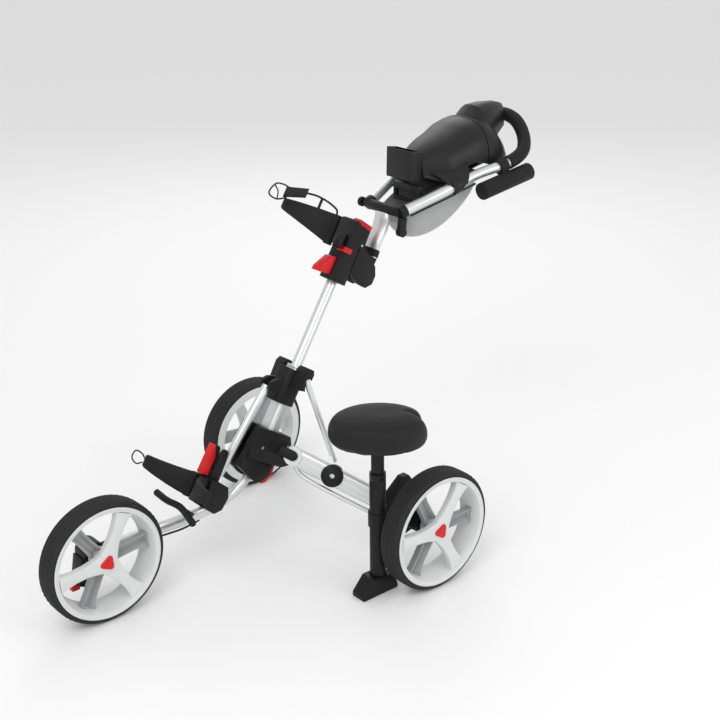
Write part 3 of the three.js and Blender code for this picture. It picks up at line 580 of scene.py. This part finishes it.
# Profiles of a wheel as (outwards, radius) pairs.
TYRE_SIDE = [(-25.4, 124.3), (-26.3, 129), (-26.4, 134), (-25.9, 139), (-24.2, 142.6), (-21, 144.6),
             (-15.5, 145.4), (-15, 144.4), (-13.6, 144.4), (-13.1, 145.7), (-5.4, 146), (-4.9, 144.9),
             (-3.5, 144.9), (-3, 146)]
BARREL = [(-29.2, 112.5), (-29.4, 132), (-28.4, 133), (-27.2, 133), (-27, 131), (-27, 123.6), (26.8, 123.6),
          (26.8, 131), (27.4, 133), (28.8, 133), (29.4, 132.2), (29.4, 129.8), (28.2, 128.6), (27.4, 122.5),
          (25, 120.6), (10, 117.6), (-20, 113.5), (-26, 112.2)]
HUB = [(-25, 6.6), (-25, 21), (-24, 22), (4, 25), (8, 27), (20, 27), (22.4, 25.6), (23, 23), (23, 6.6)]
# Spoke stations: radius, half width, and the depths of the back and the face.
RAISED_SPOKE = [(12, 24, 4, 21.8), (24, 20.5, 5, 22), (38, 16.5, 5, 22.4), (56, 14, 5, 23), (80, 13.5, 5, 24),
                (100, 15.5, 5, 25), (112, 19, 5, 25.6), (119.2, 24, 5, 26)]
HOLLOW_SPOKE = [(16, 17, -14, 3), (40, 15, -14, 3.5), (80, 14, -14, 4.5), (104, 16, -13, 6),
                (116, 21, -12, 8)]
# Hub cap levels: distance outwards and share of the outline.
CAP_LEVELS = [(23.3, 1.0), (25.8, 1.0), (27.0, 0.93), (27.4, 0.78), (26.4, 0.66), (26.9, 0.5), (27.3, 0.2)]
SPOKES = 6
TREAD_BLOCKS = 120
TREAD_ROW, TREAD_RADIUS = 15.2, 145.2


def trough(half):
    """The section of a hollow spoke: two rounded walls with a deep channel between them."""
    right = [(half, -8), (half, 7), (half - 1.5, 8.5), (half - 3.5, 8), (4, -4)]
    return [Vector(p) for p in right] + [Vector((-x, y)) for x, y in reversed(right)]


def spoke(centre, outer, angle, hollow):
    """One spoke: raised ones flare at the hub and the rim, hollow ones lie deeper."""
    across = wheel_point((0, 0, 0), outer, 0, 1, angle + math.pi / 2)
    rings = []
    for radius, half, back, face in HOLLOW_SPOKE if hollow else RAISED_SPOKE:
        section = trough(half) if hollow else rounded_section(2 * half, face - back, 3.2, 3)
        middle = (back + face) / 2
        rings.append([row(*(wheel_point(centre, outer, middle + s.y, radius, angle) + across * s.x))
                      for s in section])
    return skin(rings)


def make_tread(prefix, centre, outer, body):
    """Low blocks on both shoulders of the tyre."""
    height = bpy.context.scene.trolley_sizes.tread / MM
    block = small_block("tread_block", (7.5, 5.6, height))
    side = Vector((outer, 0, 0))
    places = []
    for i in range(TREAD_BLOCKS):
        angle = 2 * math.pi * (i + 0.5 * (i % 2)) / TREAD_BLOCKS
        place = wheel_point(centre, outer, TREAD_ROW if i % 2 else -TREAD_ROW, TREAD_RADIUS, angle)
        out = wheel_point((0, 0, 0), outer, 0, 1, angle)
        places.append((row(*place), Matrix((side, out.cross(side), out)).transposed()))
    repeated(prefix + "_tread", block, places, FINISH["tyre"], "tyre_rubber", body)
    dispose(block)


def make_wheel(prefix):
    centre, outer, spin, body = WHEELS[prefix]
    axis = (outer, 0, 0)
    profile = TYRE_SIDE + [(-x, r) for x, r in reversed(TYRE_SIDE)]
    tyre = turned(profile, centre, axis, 160)
    part(prefix + "_tyre_shape", tyre, FINISH["tyre"], prefix + "_tyre", smooth=50)

    barrel = turned(BARREL, centre, axis, 144)
    hub = turned(HUB, centre, axis, 72)
    first = math.pi / 2 + spin
    angles = [first + 2 * math.pi * i / SPOKES for i in range(SPOKES)]
    raised = [spoke(centre, outer, a, False) for a in angles[::2]]
    hollow = [spoke(centre, outer, a, True) for a in angles[1::2]]
    part(prefix + "_rim_shape", merged(barrel, hub, *raised), FINISH["rim"], prefix + "_rim")
    # The hollow spokes carry the darker grey, which is painted shade for their channels and not a colour of
    # their own.
    part(prefix + "_hollow_spokes", merged(*hollow), FINISH["rim_back"], slot="grey_rim", body=body)

    outline = []
    for i in range(72):
        a = 2 * math.pi * i / 72
        outline.append((a + first, 15.2 + 3.0 * math.cos(3 * a) + 0.35 * math.cos(6 * a)))
    cap = skin([[row(*wheel_point(centre, outer, x, r * k, a)) for a, r in outline] for x, k in CAP_LEVELS])
    part(prefix + "_hub_cap_shape", cap, FINISH["red"], prefix + "_hub_cap", smooth=35)
    make_tread(prefix, centre, outer, body)


# ---------------------------------------------------------------- tubes
# The front arm is two bent tubes: a thin one down from the housing and a thick one out to the wheel.
FRONT_DOWN = [(0, -234, 244), (0, -262, 240), (2, -290, 222), (0, -320, 202), (-4, -350, 192),
              (-16, -378, 182)]
FRONT_OUT = [(-6, -366, 188), (-30, -404, 169), (-62, -434, 148), (-86, -470, 135), (-93, -520, 131),
             (-96, -606, 128)]
MAIN_TUBE_FOOT, MAIN_TUBE_TOP = -224.6, -6.4
# Turned profiles about the leg's hinge axis, as (along, radius) pairs.
LEG_KNUCKLE = [(-12.9, 6.5), (-12.9, 21.6), (-11.6, 22.9), (11.6, 22.9), (12.9, 21.6), (12.9, 6.5)]
CLAMP_DRUM = [(-17.4, 6), (-17.4, 24), (-15.6, 26.4), (15.6, 26.4), (17.4, 24), (17.4, 6)]
CLAMP_PLACE = 103.5


def make_leg(sign, prefix):
    """A rear leg with its knuckle, the thin rod under it and the drum its strut is pinned to."""
    hinge, out, axis, up, length = leg_axes(sign)
    start, stop = 12, length - 6.4
    line = [hinge + out * (start + (stop - start) * i / 12) for i in range(13)]
    bar = swept(line, ribbed_section(24, 46, 9.5, [6.5]), axis)
    knuckle = turned(LEG_KNUCKLE, hinge, axis, 64)
    part(prefix + "_leg_shape", merged(bar, knuckle), FINISH["tube"], prefix + "_leg", smooth=32)
    # A thin rod runs under the leg; each pair is its distance out and how far it hangs below.
    dips = ((12, -3), (26, 5), (44, 11), (length - 74, 11), (length - 58, 8), (length - 46, 2))
    low = [hinge + out * away - up * (23 + drop) for away, drop in dips]
    part(prefix + "_leg_rail", swept(smooth_line(low, 40), round_section(5.6, 18), axis), FINISH["tube"],
         slot="silver_tube", body=prefix + "_leg_frame")
    drum = turned(CLAMP_DRUM, hinge + out * CLAMP_PLACE, axis, 64)
    part(prefix + "_clamp_drum", drum, FINISH["nylon"], prefix + "_leg_clamp")


def make_tubes():
    ends = [from_column(0, 0, MAIN_TUBE_FOOT), from_column(0, 0, MAIN_TUBE_TOP)]
    line = [ends[0].lerp(ends[1], i / 12) for i in range(13)]
    column = swept(line, ribbed_section(46, 34, 14.5, [5.5]), (1, 0, 0))
    part("main_tube_shape", column, FINISH["tube"], "main_tube", smooth=32)
    make_leg(1, "left")
    make_leg(-1, "right")
    loop = loop_part(0.004, 0.996, 150)
    part("handle_tube_shape", swept(loop, round_section(12.4, 28)), FINISH["tube"], "handle_tube")
    down = swept(smooth_line(FRONT_DOWN, 44), round_section(10.9, 24))
    out = swept(smooth_line(FRONT_OUT, 60), round_section(13.9, 28))
    part("front_arm_shape", merged(down, out), FINISH["tube"], "front_arm")
    for name in ("upper_column", "left_strut", "right_strut", "front_rail"):
        moulded_copy(name, FINISH["tube"], 0.6)
    moulded_copy("handle_arm", FINISH["tube"], 0.5, 45)


# ---------------------------------------------------------------- moulded brackets and levers
EDGE_WIDTHS = {"collar": 1.6, "centre_housing": 1.8, "lower_bracket": 2.4, "upper_bracket": 2.0,
               "handle_clevis": 1.0, "left_axle_housing": 1.2, "right_axle_housing": 1.2,
               "front_axle_housing": 1.2, "crossbar": 0.8, "tilt_knob": 1.6, "seat_bracket": 1.2,
               "seat_foot": 2.2}
RED_PIECES = ("fold_lever", "strap_lever", "bracket_lever", "height_button", "handle_latch", "brake_lever",
              "front_release_tab")
STEEL_PIECES = ("left_axle", "right_axle", "front_axle", "brake_plunger")


def make_mouldings():
    for name, edge in EDGE_WIDTHS.items():
        moulded_copy(name, FINISH["nylon"], edge)
    for name in RED_PIECES:
        moulded_copy(name, FINISH["red"], 1.6, 45, 3)
    for name in STEEL_PIECES:
        axle = bpy.data.objects[name].data
        axle.materials.clear()
        axle.materials.append(FINISH["steel"])
    moulded_copy("base_rest", FINISH["rubber"], 0.8, 45)


# ---------------------------------------------------------------- bag arms
ARM_SPREAD = 0.8  # radians between straight forwards and the middle of an arm
TIP_START = 0.94
LOWER_ROOT = (17, -141, -341)
UPPER_ROOT = (17, -46, 318)


def arm_station(s, sign, root, reach, rise, heights, lift):
    """The ring of an arm at share s of its length; it curls inwards, thins and rounds off at the tip."""
    angle = ARM_SPREAD + (s - 0.5) * 0.5
    centre = Vector((sign * (root[0] + math.sin(angle) * reach * s), root[1] - math.cos(angle) * reach * s,
                     root[2] + rise * s + lift * (1 - s)))
    normal = Vector((sign * math.cos(angle), math.sin(angle), 0))
    shrink = 1.0 if s < TIP_START else math.sqrt(max(1 - ((s - TIP_START) / 0.063) ** 2, 0.02))
    height = heights[0] + (heights[1] - heights[0]) * s
    half = (height / 2 + lift * (1 - s)) * (0.72 + 0.28 * shrink)
    thick = (20 - 9 * s) / 2 * shrink
    section = rounded_section(2 * thick, 2 * half, min(thick * 0.98, 5.5), 4)
    return [on_column(*(centre + normal * c.x + Vector((0, 0, c.y)))) for c in section]


def bag_arm(name, sign, root, reach, rise, heights, lift):
    """A soft arm that cradles the bag, with the upright knuckle it swings on."""
    steps = 26
    blade = skin([arm_station(i / steps, sign, root, reach, rise, heights, lift) for i in range(steps + 1)])
    low, high = root[2] - heights[0] / 2, root[2] + heights[0] / 2 + 2 * lift
    levels = ((low, 9.4), (low + 1.4, 10.8), (high - 1.4, 10.8), (high, 9.4))
    knuckle = skin([[on_column(root[0] * sign + p.x, root[1] + p.y, level) for p in round_section(radius, 32)]
                    for level, radius in levels])
    part(name + "_shape", merged(blade, knuckle), FINISH["rubber"], name, smooth=38)


def make_bag_arms():
    for sign, side in ((1, "left"), (-1, "right")):
        bag_arm(f"lower_{side}_arm", sign, LOWER_ROOT, 128, 6, (54, 30), 2)
        bag_arm(f"upper_{side}_arm", sign, UPPER_ROOT, 140, 22, (58, 26), 7)


# ---------------------------------------------------------------- handle and console
FLAP_COLUMNS, FLAP_ROWS = 12, 8
FLAP_EDGE = [(44, 258, 888), (62, 290, 890), (70, 320, 896), (74, 356, 908)]
FLAP_OVER = [(84, 270, 868), (96, 301, 874), (108, 334, 879)]
FLAP_TIP = [(107, 287, 850), (116, 301, 848), (120, 317, 857)]


def lid_flap(side, sign):
    """The lid's skirt reaches out on each side and hangs over the tube and its clip."""
    lines = [smooth_line(points, FLAP_COLUMNS) for points in (FLAP_EDGE, FLAP_OVER, FLAP_TIP)]
    outside = []
    for k in range(FLAP_ROWS + 1):
        s = k / FLAP_ROWS
        for edge, over, tip in zip(*lines):
            p = edge * ((1 - s) * (1 - 2 * s)) + over * (4 * s * (1 - s)) + tip * (s * (2 * s - 1))
            outside.append(Vector((sign * p.x, p.y, p.z)))
    thickness = Vector((sign * 3.0, 0, 1.0))
    verts = [row(*p) for p in outside + [p - thickness for p in outside]]
    count, wide = len(outside), FLAP_COLUMNS + 1
    faces = []
    for k in range(FLAP_ROWS):
        for i in range(FLAP_COLUMNS):
            a = k * wide + i
            quad = (a, a + 1, a + wide + 1, a + wide)
            faces += [quad, tuple(count + v for v in reversed(quad))]
    last = FLAP_ROWS * wide
    rim = list(range(wide)) + [k * wide + FLAP_COLUMNS for k in range(1, FLAP_ROWS + 1)]
    rim += [last + i for i in reversed(range(FLAP_COLUMNS))]
    rim += [k * wide for k in reversed(range(1, FLAP_ROWS))]
    faces += [(b, a, count + a, count + b) for a, b in zip(rim, rim[1:] + rim[:1])]
    part(side + "_lid_flap", (verts, faces), FINISH["hood"], slot="black_plastic", body="lid", smooth=50)


def make_console():
    moulded_copy("console_body", FINISH["hood"], 1.4, 50)
    moulded_copy("console_lid", FINISH["hood"], 3.0, 50, 3)
    moulded_copy("card_holder", FINISH["hood"], 3.4, 45, 4)
    radius = bpy.context.scene.trolley_sizes.grip / MM
    grip = swept(loop_part(0.29, 0.71, 120), round_section(radius, 32))
    part("grip_shape", grip, FINISH["rubber"], "grip")
    moulded_copy("accessory_holder", FINISH["rubber"], 1.4, 45)
    lid_flap("left", 1)
    lid_flap("right", -1)


# ---------------------------------------------------------------- net
# Stations down the net's length: place, half width, and how low it hangs.
NET_STATIONS = [(188, 46, 762), (212, 56, 728), (250, 66, 716), (300, 76, 724), (345, 80, 750),
                (385, 76, 788), (404, 60, 822)]
NET_ALONG, NET_ACROSS, NET_END_ROWS = 60, 48, 6


def net_rows():
    """Points of the net between the side tubes, one row across for each step along it."""
    rows = []
    for y, half, low in smooth_line(NET_STATIONS, NET_ALONG):
        top = 788 + (y - 177) * 0.345  # the underside of the rising side tubes
        across = []
        for j in range(NET_ACROSS + 1):
            a = math.pi * j / NET_ACROSS
            depth = math.sin(a) ** 0.8 if 0 < j < NET_ACROSS else 0.0
            across.append(row(half * math.cos(a), y, top - (top - low) * depth))
        rows.append(across)
    return rows


def make_net():
    rows = net_rows()
    verts = [p for across in rows for p in across]
    wide = NET_ACROSS + 1
    faces = [(i * wide + j, (i + 1) * wide + j, (i + 1) * wide + j + 1, i * wide + j + 1)
             for i in range(NET_ALONG) for j in range(NET_ACROSS)]
    # The front and back of the net close it up to the tubes.
    for i in (0, NET_ALONG):
        ring = rows[i]
        middle = (ring[0] + ring[-1]) / 2
        previous = i * wide
        for k in range(1, NET_END_ROWS + 1):
            start = len(verts)
            for p in ring:
                under = middle.lerp(Vector((p.x, p.y, middle.z)), 0.999)
                verts.append(p.lerp(under, k / NET_END_ROWS))
            for j in range(NET_ACROSS):
                quad = (previous + j, previous + j + 1, start + j + 1, start + j)
                faces.append(quad if i == 0 else quad[::-1])
            previous = start
    mesh = mesh_from("net_cloth", verts, faces, 60)
    outward(mesh, 1e-4)
    uv = mesh.uv_layers.new(name="UVMap")
    for loop in mesh.loops:
        p = mesh.vertices[loop.vertex_index].co
        uv.data[loop.index].uv = (p.y + p.z * 0.4, math.atan2(p.x, 0.95 - p.z) * 0.11)
    obj = new_piece("net_cloth", mesh)
    solid = obj.modifiers.new("cloth", "SOLIDIFY")
    solid.thickness, solid.offset = 0.0012, -1
    baked(obj)
    finish_shading(obj.data, 60)
    settle(obj, FINISH["net"], "net_fabric", "console_frame", "net")


# ---------------------------------------------------------------- seat
SEAT = Vector((288, -117, 0))
SEAT_YAW = math.radians(49.5)
PAD_MIDDLE = SEAT + Vector((1, 3, 0))
PAD_HALF_LENGTH, PAD_HALF_WIDTH = 115, 91
NOTCH_ANGLE, NOTCH_WIDTH, NOTCH_DEPTH = 0.14, 0.24, 0.17
# Levels of the pad: share of the outline and height.
PAD_LEVELS = [(0.5, 379.6), (0.83, 379.8), (0.92, 382), (0.955, 388), (0.985, 396), (0.99, 406), (0.977, 417),
              (0.94, 427.5), (0.875, 436.5), (0.77, 443), (0.6, 446.6), (0.35, 448)]
# Turned profiles of the post and sleeve: height and radius.
POST = [(70.5, 0.4), (70.5, 14.4), (71.2, 14.9), (377.5, 14.9), (378.3, 14.2), (378.3, 0.4)]
SLEEVE = [(36.3, 0.4), (36.3, 18.2), (37, 18.9), (286, 18.9), (287, 18.2), (289, 18.2), (290, 18.9),
          (304, 18.9), (304.8, 18.1), (304.8, 15.5), (66.5, 15.5), (66.5, 0.4)]


def seat_outline(count, grow):
    """An oval with a shallow notch at one end, turned to the seat's own heading."""
    out = []
    for i in range(count):
        a = 2 * math.pi * i / count
        away = (a - NOTCH_ANGLE + math.pi) % (2 * math.pi) - math.pi
        notch = 1 - NOTCH_DEPTH * math.exp(-((away / NOTCH_WIDTH) ** 2))
        u = PAD_HALF_LENGTH * notch * math.cos(a) * grow
        v = PAD_HALF_WIDTH * notch * math.sin(a) * grow
        out.append(Vector((PAD_MIDDLE.x + u * math.cos(SEAT_YAW) - v * math.sin(SEAT_YAW),
                           PAD_MIDDLE.y + u * math.sin(SEAT_YAW) + v * math.cos(SEAT_YAW))))
    return out


def make_seat():
    verts, faces = skin([[row(p.x, p.y, z) for p in seat_outline(96, k)] for k, z in PAD_LEVELS])
    mesh = mesh_from("seat_cushion", verts, faces, 60)
    outward(mesh)
    pad = new_piece("seat_cushion", mesh)
    padded_by_cloth(pad, 0.004, 3.0, 0.004)
    finish_shading(pad.data, 60)
    settle(pad, FINISH["vinyl"], "seat_foam", "seat_cushion", "seat_pad")
    for name, profile in (("seat_post", POST), ("seat_sleeve", SLEEVE)):
        shape = turned(profile, SEAT, (0, 0, 1), 64, closed_profile=False)
        part(name + "_shape", shape, FINISH["powder"], name)


def padded_by_cloth(obj, voxel, pressure, cap):
    """Swells a pad as a stuffed cover does, and keeps every point within the cap of where it was."""
    remesh = obj.modifiers.new("even", "REMESH")
    remesh.mode, remesh.voxel_size = "VOXEL", voxel
    baked(obj)
    start = [v.co.copy() for v in obj.data.vertices]
    cloth = obj.modifiers.new("cloth", "CLOTH")
    cloth.settings.use_pressure = True
    cloth.settings.uniform_pressure_force = pressure
    cloth.settings.effector_weights.gravity = 0
    cloth.settings.quality = 4
    scene = bpy.context.scene
    for moment in range(1, 17):
        scene.frame_set(moment)
    graph = bpy.context.evaluated_depsgraph_get()
    moved = [v.co.copy() for v in obj.evaluated_get(graph).data.vertices]
    obj.modifiers.clear()
    scene.frame_set(1)
    for vertex, before, after in zip(obj.data.vertices, start, moved):
        step = after - before
        vertex.co = before + step * min(1.0, cap / max(step.length, 1e-9))
    even = obj.modifiers.new("round", "SUBSURF")
    even.levels = even.render_levels = 1
    baked(obj)


# ---------------------------------------------------------------- cables, straps and small fittings
CABLES = {
    "front_brake_cable": [(-28, -392, 153), (-50, -424, 133), (-78, -458, 117), (-92, -510, 112),
                          (-98, -560, 109), (-101, -620, 106)],
    "upper_brake_cable": [(64, 186, 792), (76, 226, 806), (90, 268, 821), (104, 315, 838), (112, 352, 850)]}
# Routes beside a right bag arm: distance along the arm from its root, and height above the root.
HOOK = [(128, 34), (150, 22), (170, 28), (163, 55), (146, 60), (131, 58)]
HOOK_CROSS = [(165, 52), (152, 40), (148, 24)]
STRAP_CORD = [(88, 62), (66, 65), (50, 64.5), (26, 60), (8, 52), (4, 40)]
STRAP_PEG = [(50, 40), (50, 66)]
LOWER_HOOK = [(122, 4), (134, -4), (148, 5), (146, 23), (130, 22), (120, 14)]
RAIL_CHEEK = [(-124, -312), (-98, -312), (-100, -262), (-104, -240), (-110, -236), (-120, -236), (-125, -244)]
RIVET = [(-0.5, 3.6), (0.9, 3.6), (1.5, 2.7), (1.7, 1.4)]
RIVET_PLACES = ((-28, -204), (44, -184))


def beside_arm(root, along, rise, off=0.0):
    """A layout point measured along a right arm, up from its root and out from its face."""
    out = Vector((-math.sin(ARM_SPREAD), -math.cos(ARM_SPREAD), 0))
    side = Vector((out.y, -out.x, 0))
    start = Vector((-root[0], root[1], root[2] + rise))
    return from_column(*(start + out * along + side * off))


def wire(root, route, radius, count=50):
    """A round wire or cord along a route beside an arm."""
    return swept(smooth_line([beside_arm(root, *q) for q in route], count), round_section(radius, 10))


def make_straps():
    """The right arms carry an elastic strap: a wire hook at the tip, a slider and a cord back to a peg."""
    upper = "upper_right_bag_arm"
    hook = merged(wire(UPPER_ROOT, HOOK, 1.9), wire(UPPER_ROOT, HOOK_CROSS, 1.6, 20))
    part("strap_hook_wire", hook, FINISH["cord"], slot="steel", body=upper)
    slider = []
    for i in range(9):
        s = i / 8
        section = rounded_section(9, 2 * (13 - 1.5 * s), 3.4, 3)
        slider.append([row(*beside_arm(UPPER_ROOT, 137 - 50 * s, 45 + 17 * s + p.y, p.x)) for p in section])
    part("strap_slider", skin(slider), FINISH["nylon"], slot="steel", body=upper)
    cord = wire(UPPER_ROOT, STRAP_CORD, 2.4)
    part("strap_cord", cord, FINISH["cord"], slot="cable_rubber", body=upper)
    low_hook = wire(LOWER_ROOT, LOWER_HOOK, 1.7)
    part("lower_hook_wire", low_hook, FINISH["cord"], slot="steel", body="lower_right_bag_arm")
    foot, top = (beside_arm(UPPER_ROOT, *q) for q in STRAP_PEG)
    peg = swept([foot.lerp(top, k / 4) for k in range(5)], round_section(3.4, 14))
    part("strap_peg", peg, FINISH["nylon"], slot="black_plastic", body=upper)


def make_trim():
    radius = bpy.context.scene.trolley_sizes.cable / MM
    for name, points in CABLES.items():
        cable = swept(smooth_line(points, 60), round_section(radius, 14))
        part(name + "_shape", cable, FINISH["cable"], name)
    make_straps()
    # Two cheeks stand beside the rail's foot, behind the red lever.
    cheeks = [skin([[on_column(x, y, z) for y, z in RAIL_CHEEK] for x in span])
              for span in ((12.5, 19), (-19, -12.5))]
    part("rail_cheeks", merged(*cheeks), FINISH["nylon"], slot="black_plastic", body="front_frame", edge=2.0)
    # Rivets fix the centre housing to the main tube.
    rivet = small_turning("rivet", RIVET, 20)
    places = [(on_column(35.1, y, z), facing((1, 0, 0))) for y, z in RIVET_PLACES]
    repeated("frame_rivets", rivet, places, FINISH["steel"], "steel", "frame")
    dispose(rivet)


# ---------------------------------------------------------------- stage and camera
CAMERA_PLACE = (2284.3, -1867.0, 1653.5)
CAMERA_AIM = (168.6, -64.1, 525.0)
CAMERA_ROLL = math.radians(-0.525)
CAMERA_LENS = 66.283


def make_stage():
    scene = bpy.context.scene
    settings = scene.trolley_stage
    floor_mesh = bpy.data.meshes.new("floor")
    reach = 30.0
    corners = [(-reach, -reach, 0), (reach, -reach, 0), (reach, reach, 0), (-reach, reach, 0)]
    floor_mesh.from_pydata(corners, [], [(0, 1, 2, 3)])
    floor = new_piece("floor", floor_mesh)
    floor.location.z = -0.0005
    paper = bpy.data.materials.new("white_paper")
    paper.use_nodes = True
    shader = paper.node_tree.nodes["Principled BSDF"]
    shader.inputs["Base Color"].default_value = linear("f4f4f4")
    shader.inputs["Roughness"].default_value = 0.9
    floor_mesh.materials.append(paper)

    world = bpy.data.worlds.new("studio")
    world.use_nodes = True
    sky = world.node_tree.nodes["Background"]
    sky.inputs["Color"].default_value = (1, 1, 1, 1)
    sky.inputs["Strength"].default_value = settings.fill
    scene.world = world
    for name, place, aim, size, power in (
            ("key", (1.6, -2.6, 3.4), (0, 0, 0.4), 2.2, settings.key),
            ("side", (3.2, 1.2, 1.9), (0, 0, 0.5), 1.8, settings.key * 0.45),
            ("back", (-2.4, 2.2, 2.6), (0, 0, 0.5), 2.0, settings.key * 0.4)):
        light = bpy.data.lights.new(name, "AREA")
        light.energy, light.size = power, size
        lamp = bpy.data.objects.new(name, light)
        lamp.location = place
        lamp.rotation_euler = (Vector(aim) - Vector(place)).to_track_quat("-Z", "Y").to_euler()
        scene.collection.objects.link(lamp)
    scene.view_settings.view_transform = "Standard"
    scene.view_settings.look = "None"

    camera = bpy.data.cameras.new("camera")
    camera.sensor_width, camera.lens = 36.0, CAMERA_LENS
    camera.clip_end = 50
    eye = bpy.data.objects.new("camera", camera)
    place, aim = row(*CAMERA_PLACE), row(*CAMERA_AIM)
    level = (aim - place).to_track_quat("-Z", "Y").to_matrix().to_4x4()
    eye.matrix_world = Matrix.Translation(place) @ level @ Matrix.Rotation(CAMERA_ROLL, 4, "Z")
    scene.collection.objects.link(eye)
    scene.camera = eye


# ---------------------------------------------------------------- add-on
def colour_property(name, description, default):
    return bpy.props.FloatVectorProperty(name=name, description=description, subtype="COLOR_GAMMA", size=3,
                                         default=default, min=0, max=1)


class TrolleyColours(bpy.types.PropertyGroup):
    tube: colour_property("Tubes", "Anodised tube colour", (0.85, 0.86, 0.86))
    plastic: colour_property("Mouldings", "Black moulded parts", (0.105, 0.105, 0.11))
    red: colour_property("Levers", "Red levers and hub caps", (0.80, 0.06, 0.09))
    rim: colour_property("Wheels", "Wheel moulding colour", (0.83, 0.84, 0.84))


def size_property(name, description, default):
    return bpy.props.FloatProperty(name=name, description=description, default=default, min=0, precision=4,
                                   subtype="DISTANCE", unit="LENGTH")


class TrolleySizes(bpy.types.PropertyGroup):
    grip: size_property("Grip", "Radius of the soft grip round the handle loop", 0.0164)
    cable: size_property("Cable", "Radius of the brake cable's sheath", 0.00245)
    tread: size_property("Tread", "Thickness of a tread block", 0.0009)


class TrolleyStage(bpy.types.PropertyGroup):
    fill: bpy.props.FloatProperty(name="Fill", description="Light from all round", default=0.78, min=0)
    key: bpy.props.FloatProperty(name="Key", description="Power of the main soft light in watts", default=52,
                                 min=0, subtype="POWER", unit="POWER")


def need_finishes():
    if not FINISH:
        raise RuntimeError("make the finishes before the pieces")


class TROLLEY_OT_finishes(bpy.types.Operator):
    """Make every material"""
    bl_idname = "trolley.finishes"
    bl_label = "Finishes"

    def execute(self, context):
        make_finishes()
        return {"FINISHED"}


class TROLLEY_OT_wheels(bpy.types.Operator):
    """Tyres, rims, spokes, tread and hub caps of the three wheels"""
    bl_idname = "trolley.wheels"
    bl_label = "Wheels"

    def execute(self, context):
        need_finishes()
        for prefix in WHEELS:
            make_wheel(prefix)
        return {"FINISHED"}


class TROLLEY_OT_tubes(bpy.types.Operator):
    """Column, legs, struts, front arm and handle loop"""
    bl_idname = "trolley.tubes"
    bl_label = "Tubes"

    def execute(self, context):
        need_finishes()
        make_tubes()
        return {"FINISHED"}


class TROLLEY_OT_mouldings(bpy.types.Operator):
    """Brackets, housings and red levers"""
    bl_idname = "trolley.mouldings"
    bl_label = "Mouldings"

    def execute(self, context):
        need_finishes()
        make_mouldings()
        return {"FINISHED"}


class TROLLEY_OT_arms(bpy.types.Operator):
    """The four soft arms that hold the bag"""
    bl_idname = "trolley.arms"
    bl_label = "Bag arms"

    def execute(self, context):
        need_finishes()
        make_bag_arms()
        return {"FINISHED"}


class TROLLEY_OT_console(bpy.types.Operator):
    """Hood, lid, card holder, grip and holder under the handle"""
    bl_idname = "trolley.console"
    bl_label = "Console"

    def execute(self, context):
        need_finishes()
        make_console()
        return {"FINISHED"}


class TROLLEY_OT_net(bpy.types.Operator):
    """Knitted net under the console"""
    bl_idname = "trolley.net"
    bl_label = "Net"

    def execute(self, context):
        need_finishes()
        make_net()
        return {"FINISHED"}


class TROLLEY_OT_seat(bpy.types.Operator):
    """Padded seat, post and sleeve"""
    bl_idname = "trolley.seat"
    bl_label = "Seat"

    def execute(self, context):
        need_finishes()
        make_seat()
        return {"FINISHED"}


class TROLLEY_OT_trim(bpy.types.Operator):
    """Cables, strap hardware, rail cheeks and rivets"""
    bl_idname = "trolley.trim"
    bl_label = "Trim"

    def execute(self, context):
        need_finishes()
        make_trim()
        return {"FINISHED"}


class TROLLEY_OT_stage(bpy.types.Operator):
    """Floor, lights and camera"""
    bl_idname = "trolley.stage"
    bl_label = "Stage"

    def execute(self, context):
        make_stage()
        return {"FINISHED"}


STEPS = [
    TROLLEY_OT_finishes,
    TROLLEY_OT_wheels,
    TROLLEY_OT_tubes,
    TROLLEY_OT_mouldings,
    TROLLEY_OT_arms,
    TROLLEY_OT_console,
    TROLLEY_OT_net,
    TROLLEY_OT_seat,
    TROLLEY_OT_trim,
    TROLLEY_OT_stage,
]


class TROLLEY_PT_panel(bpy.types.Panel):
    """Lists the trolley's colours, sizes and steps"""
    bl_idname = "TROLLEY_PT_panel"
    bl_label = "Golf trolley"
    bl_space_type = "VIEW_3D"
    bl_region_type = "UI"
    bl_category = "Trolley"

    def draw(self, context):
        layout = self.layout
        scene = context.scene
        for group in (scene.trolley_colours, scene.trolley_sizes, scene.trolley_stage):
            for name in group.__annotations__:
                layout.prop(group, name)
        for step in STEPS:
            layout.operator(step.bl_idname)


CLASSES = [TrolleyColours, TrolleySizes, TrolleyStage, *STEPS, TROLLEY_PT_panel]


def register():
    for cls in CLASSES:
        bpy.utils.register_class(cls)
    bpy.types.Scene.trolley_colours = bpy.props.PointerProperty(type=TrolleyColours)
    bpy.types.Scene.trolley_sizes = bpy.props.PointerProperty(type=TrolleySizes)
    bpy.types.Scene.trolley_stage = bpy.props.PointerProperty(type=TrolleyStage)


def unregister():
    del bpy.types.Scene.trolley_colours
    del bpy.types.Scene.trolley_sizes
    del bpy.types.Scene.trolley_stage
    for cls in reversed(CLASSES):
        bpy.utils.unregister_class(cls)


def main():
    register()
    for step in STEPS:
        area, name = step.bl_idname.split(".")
        getattr(getattr(bpy.ops, area), name)()


if __name__ == "__main__":
    main()
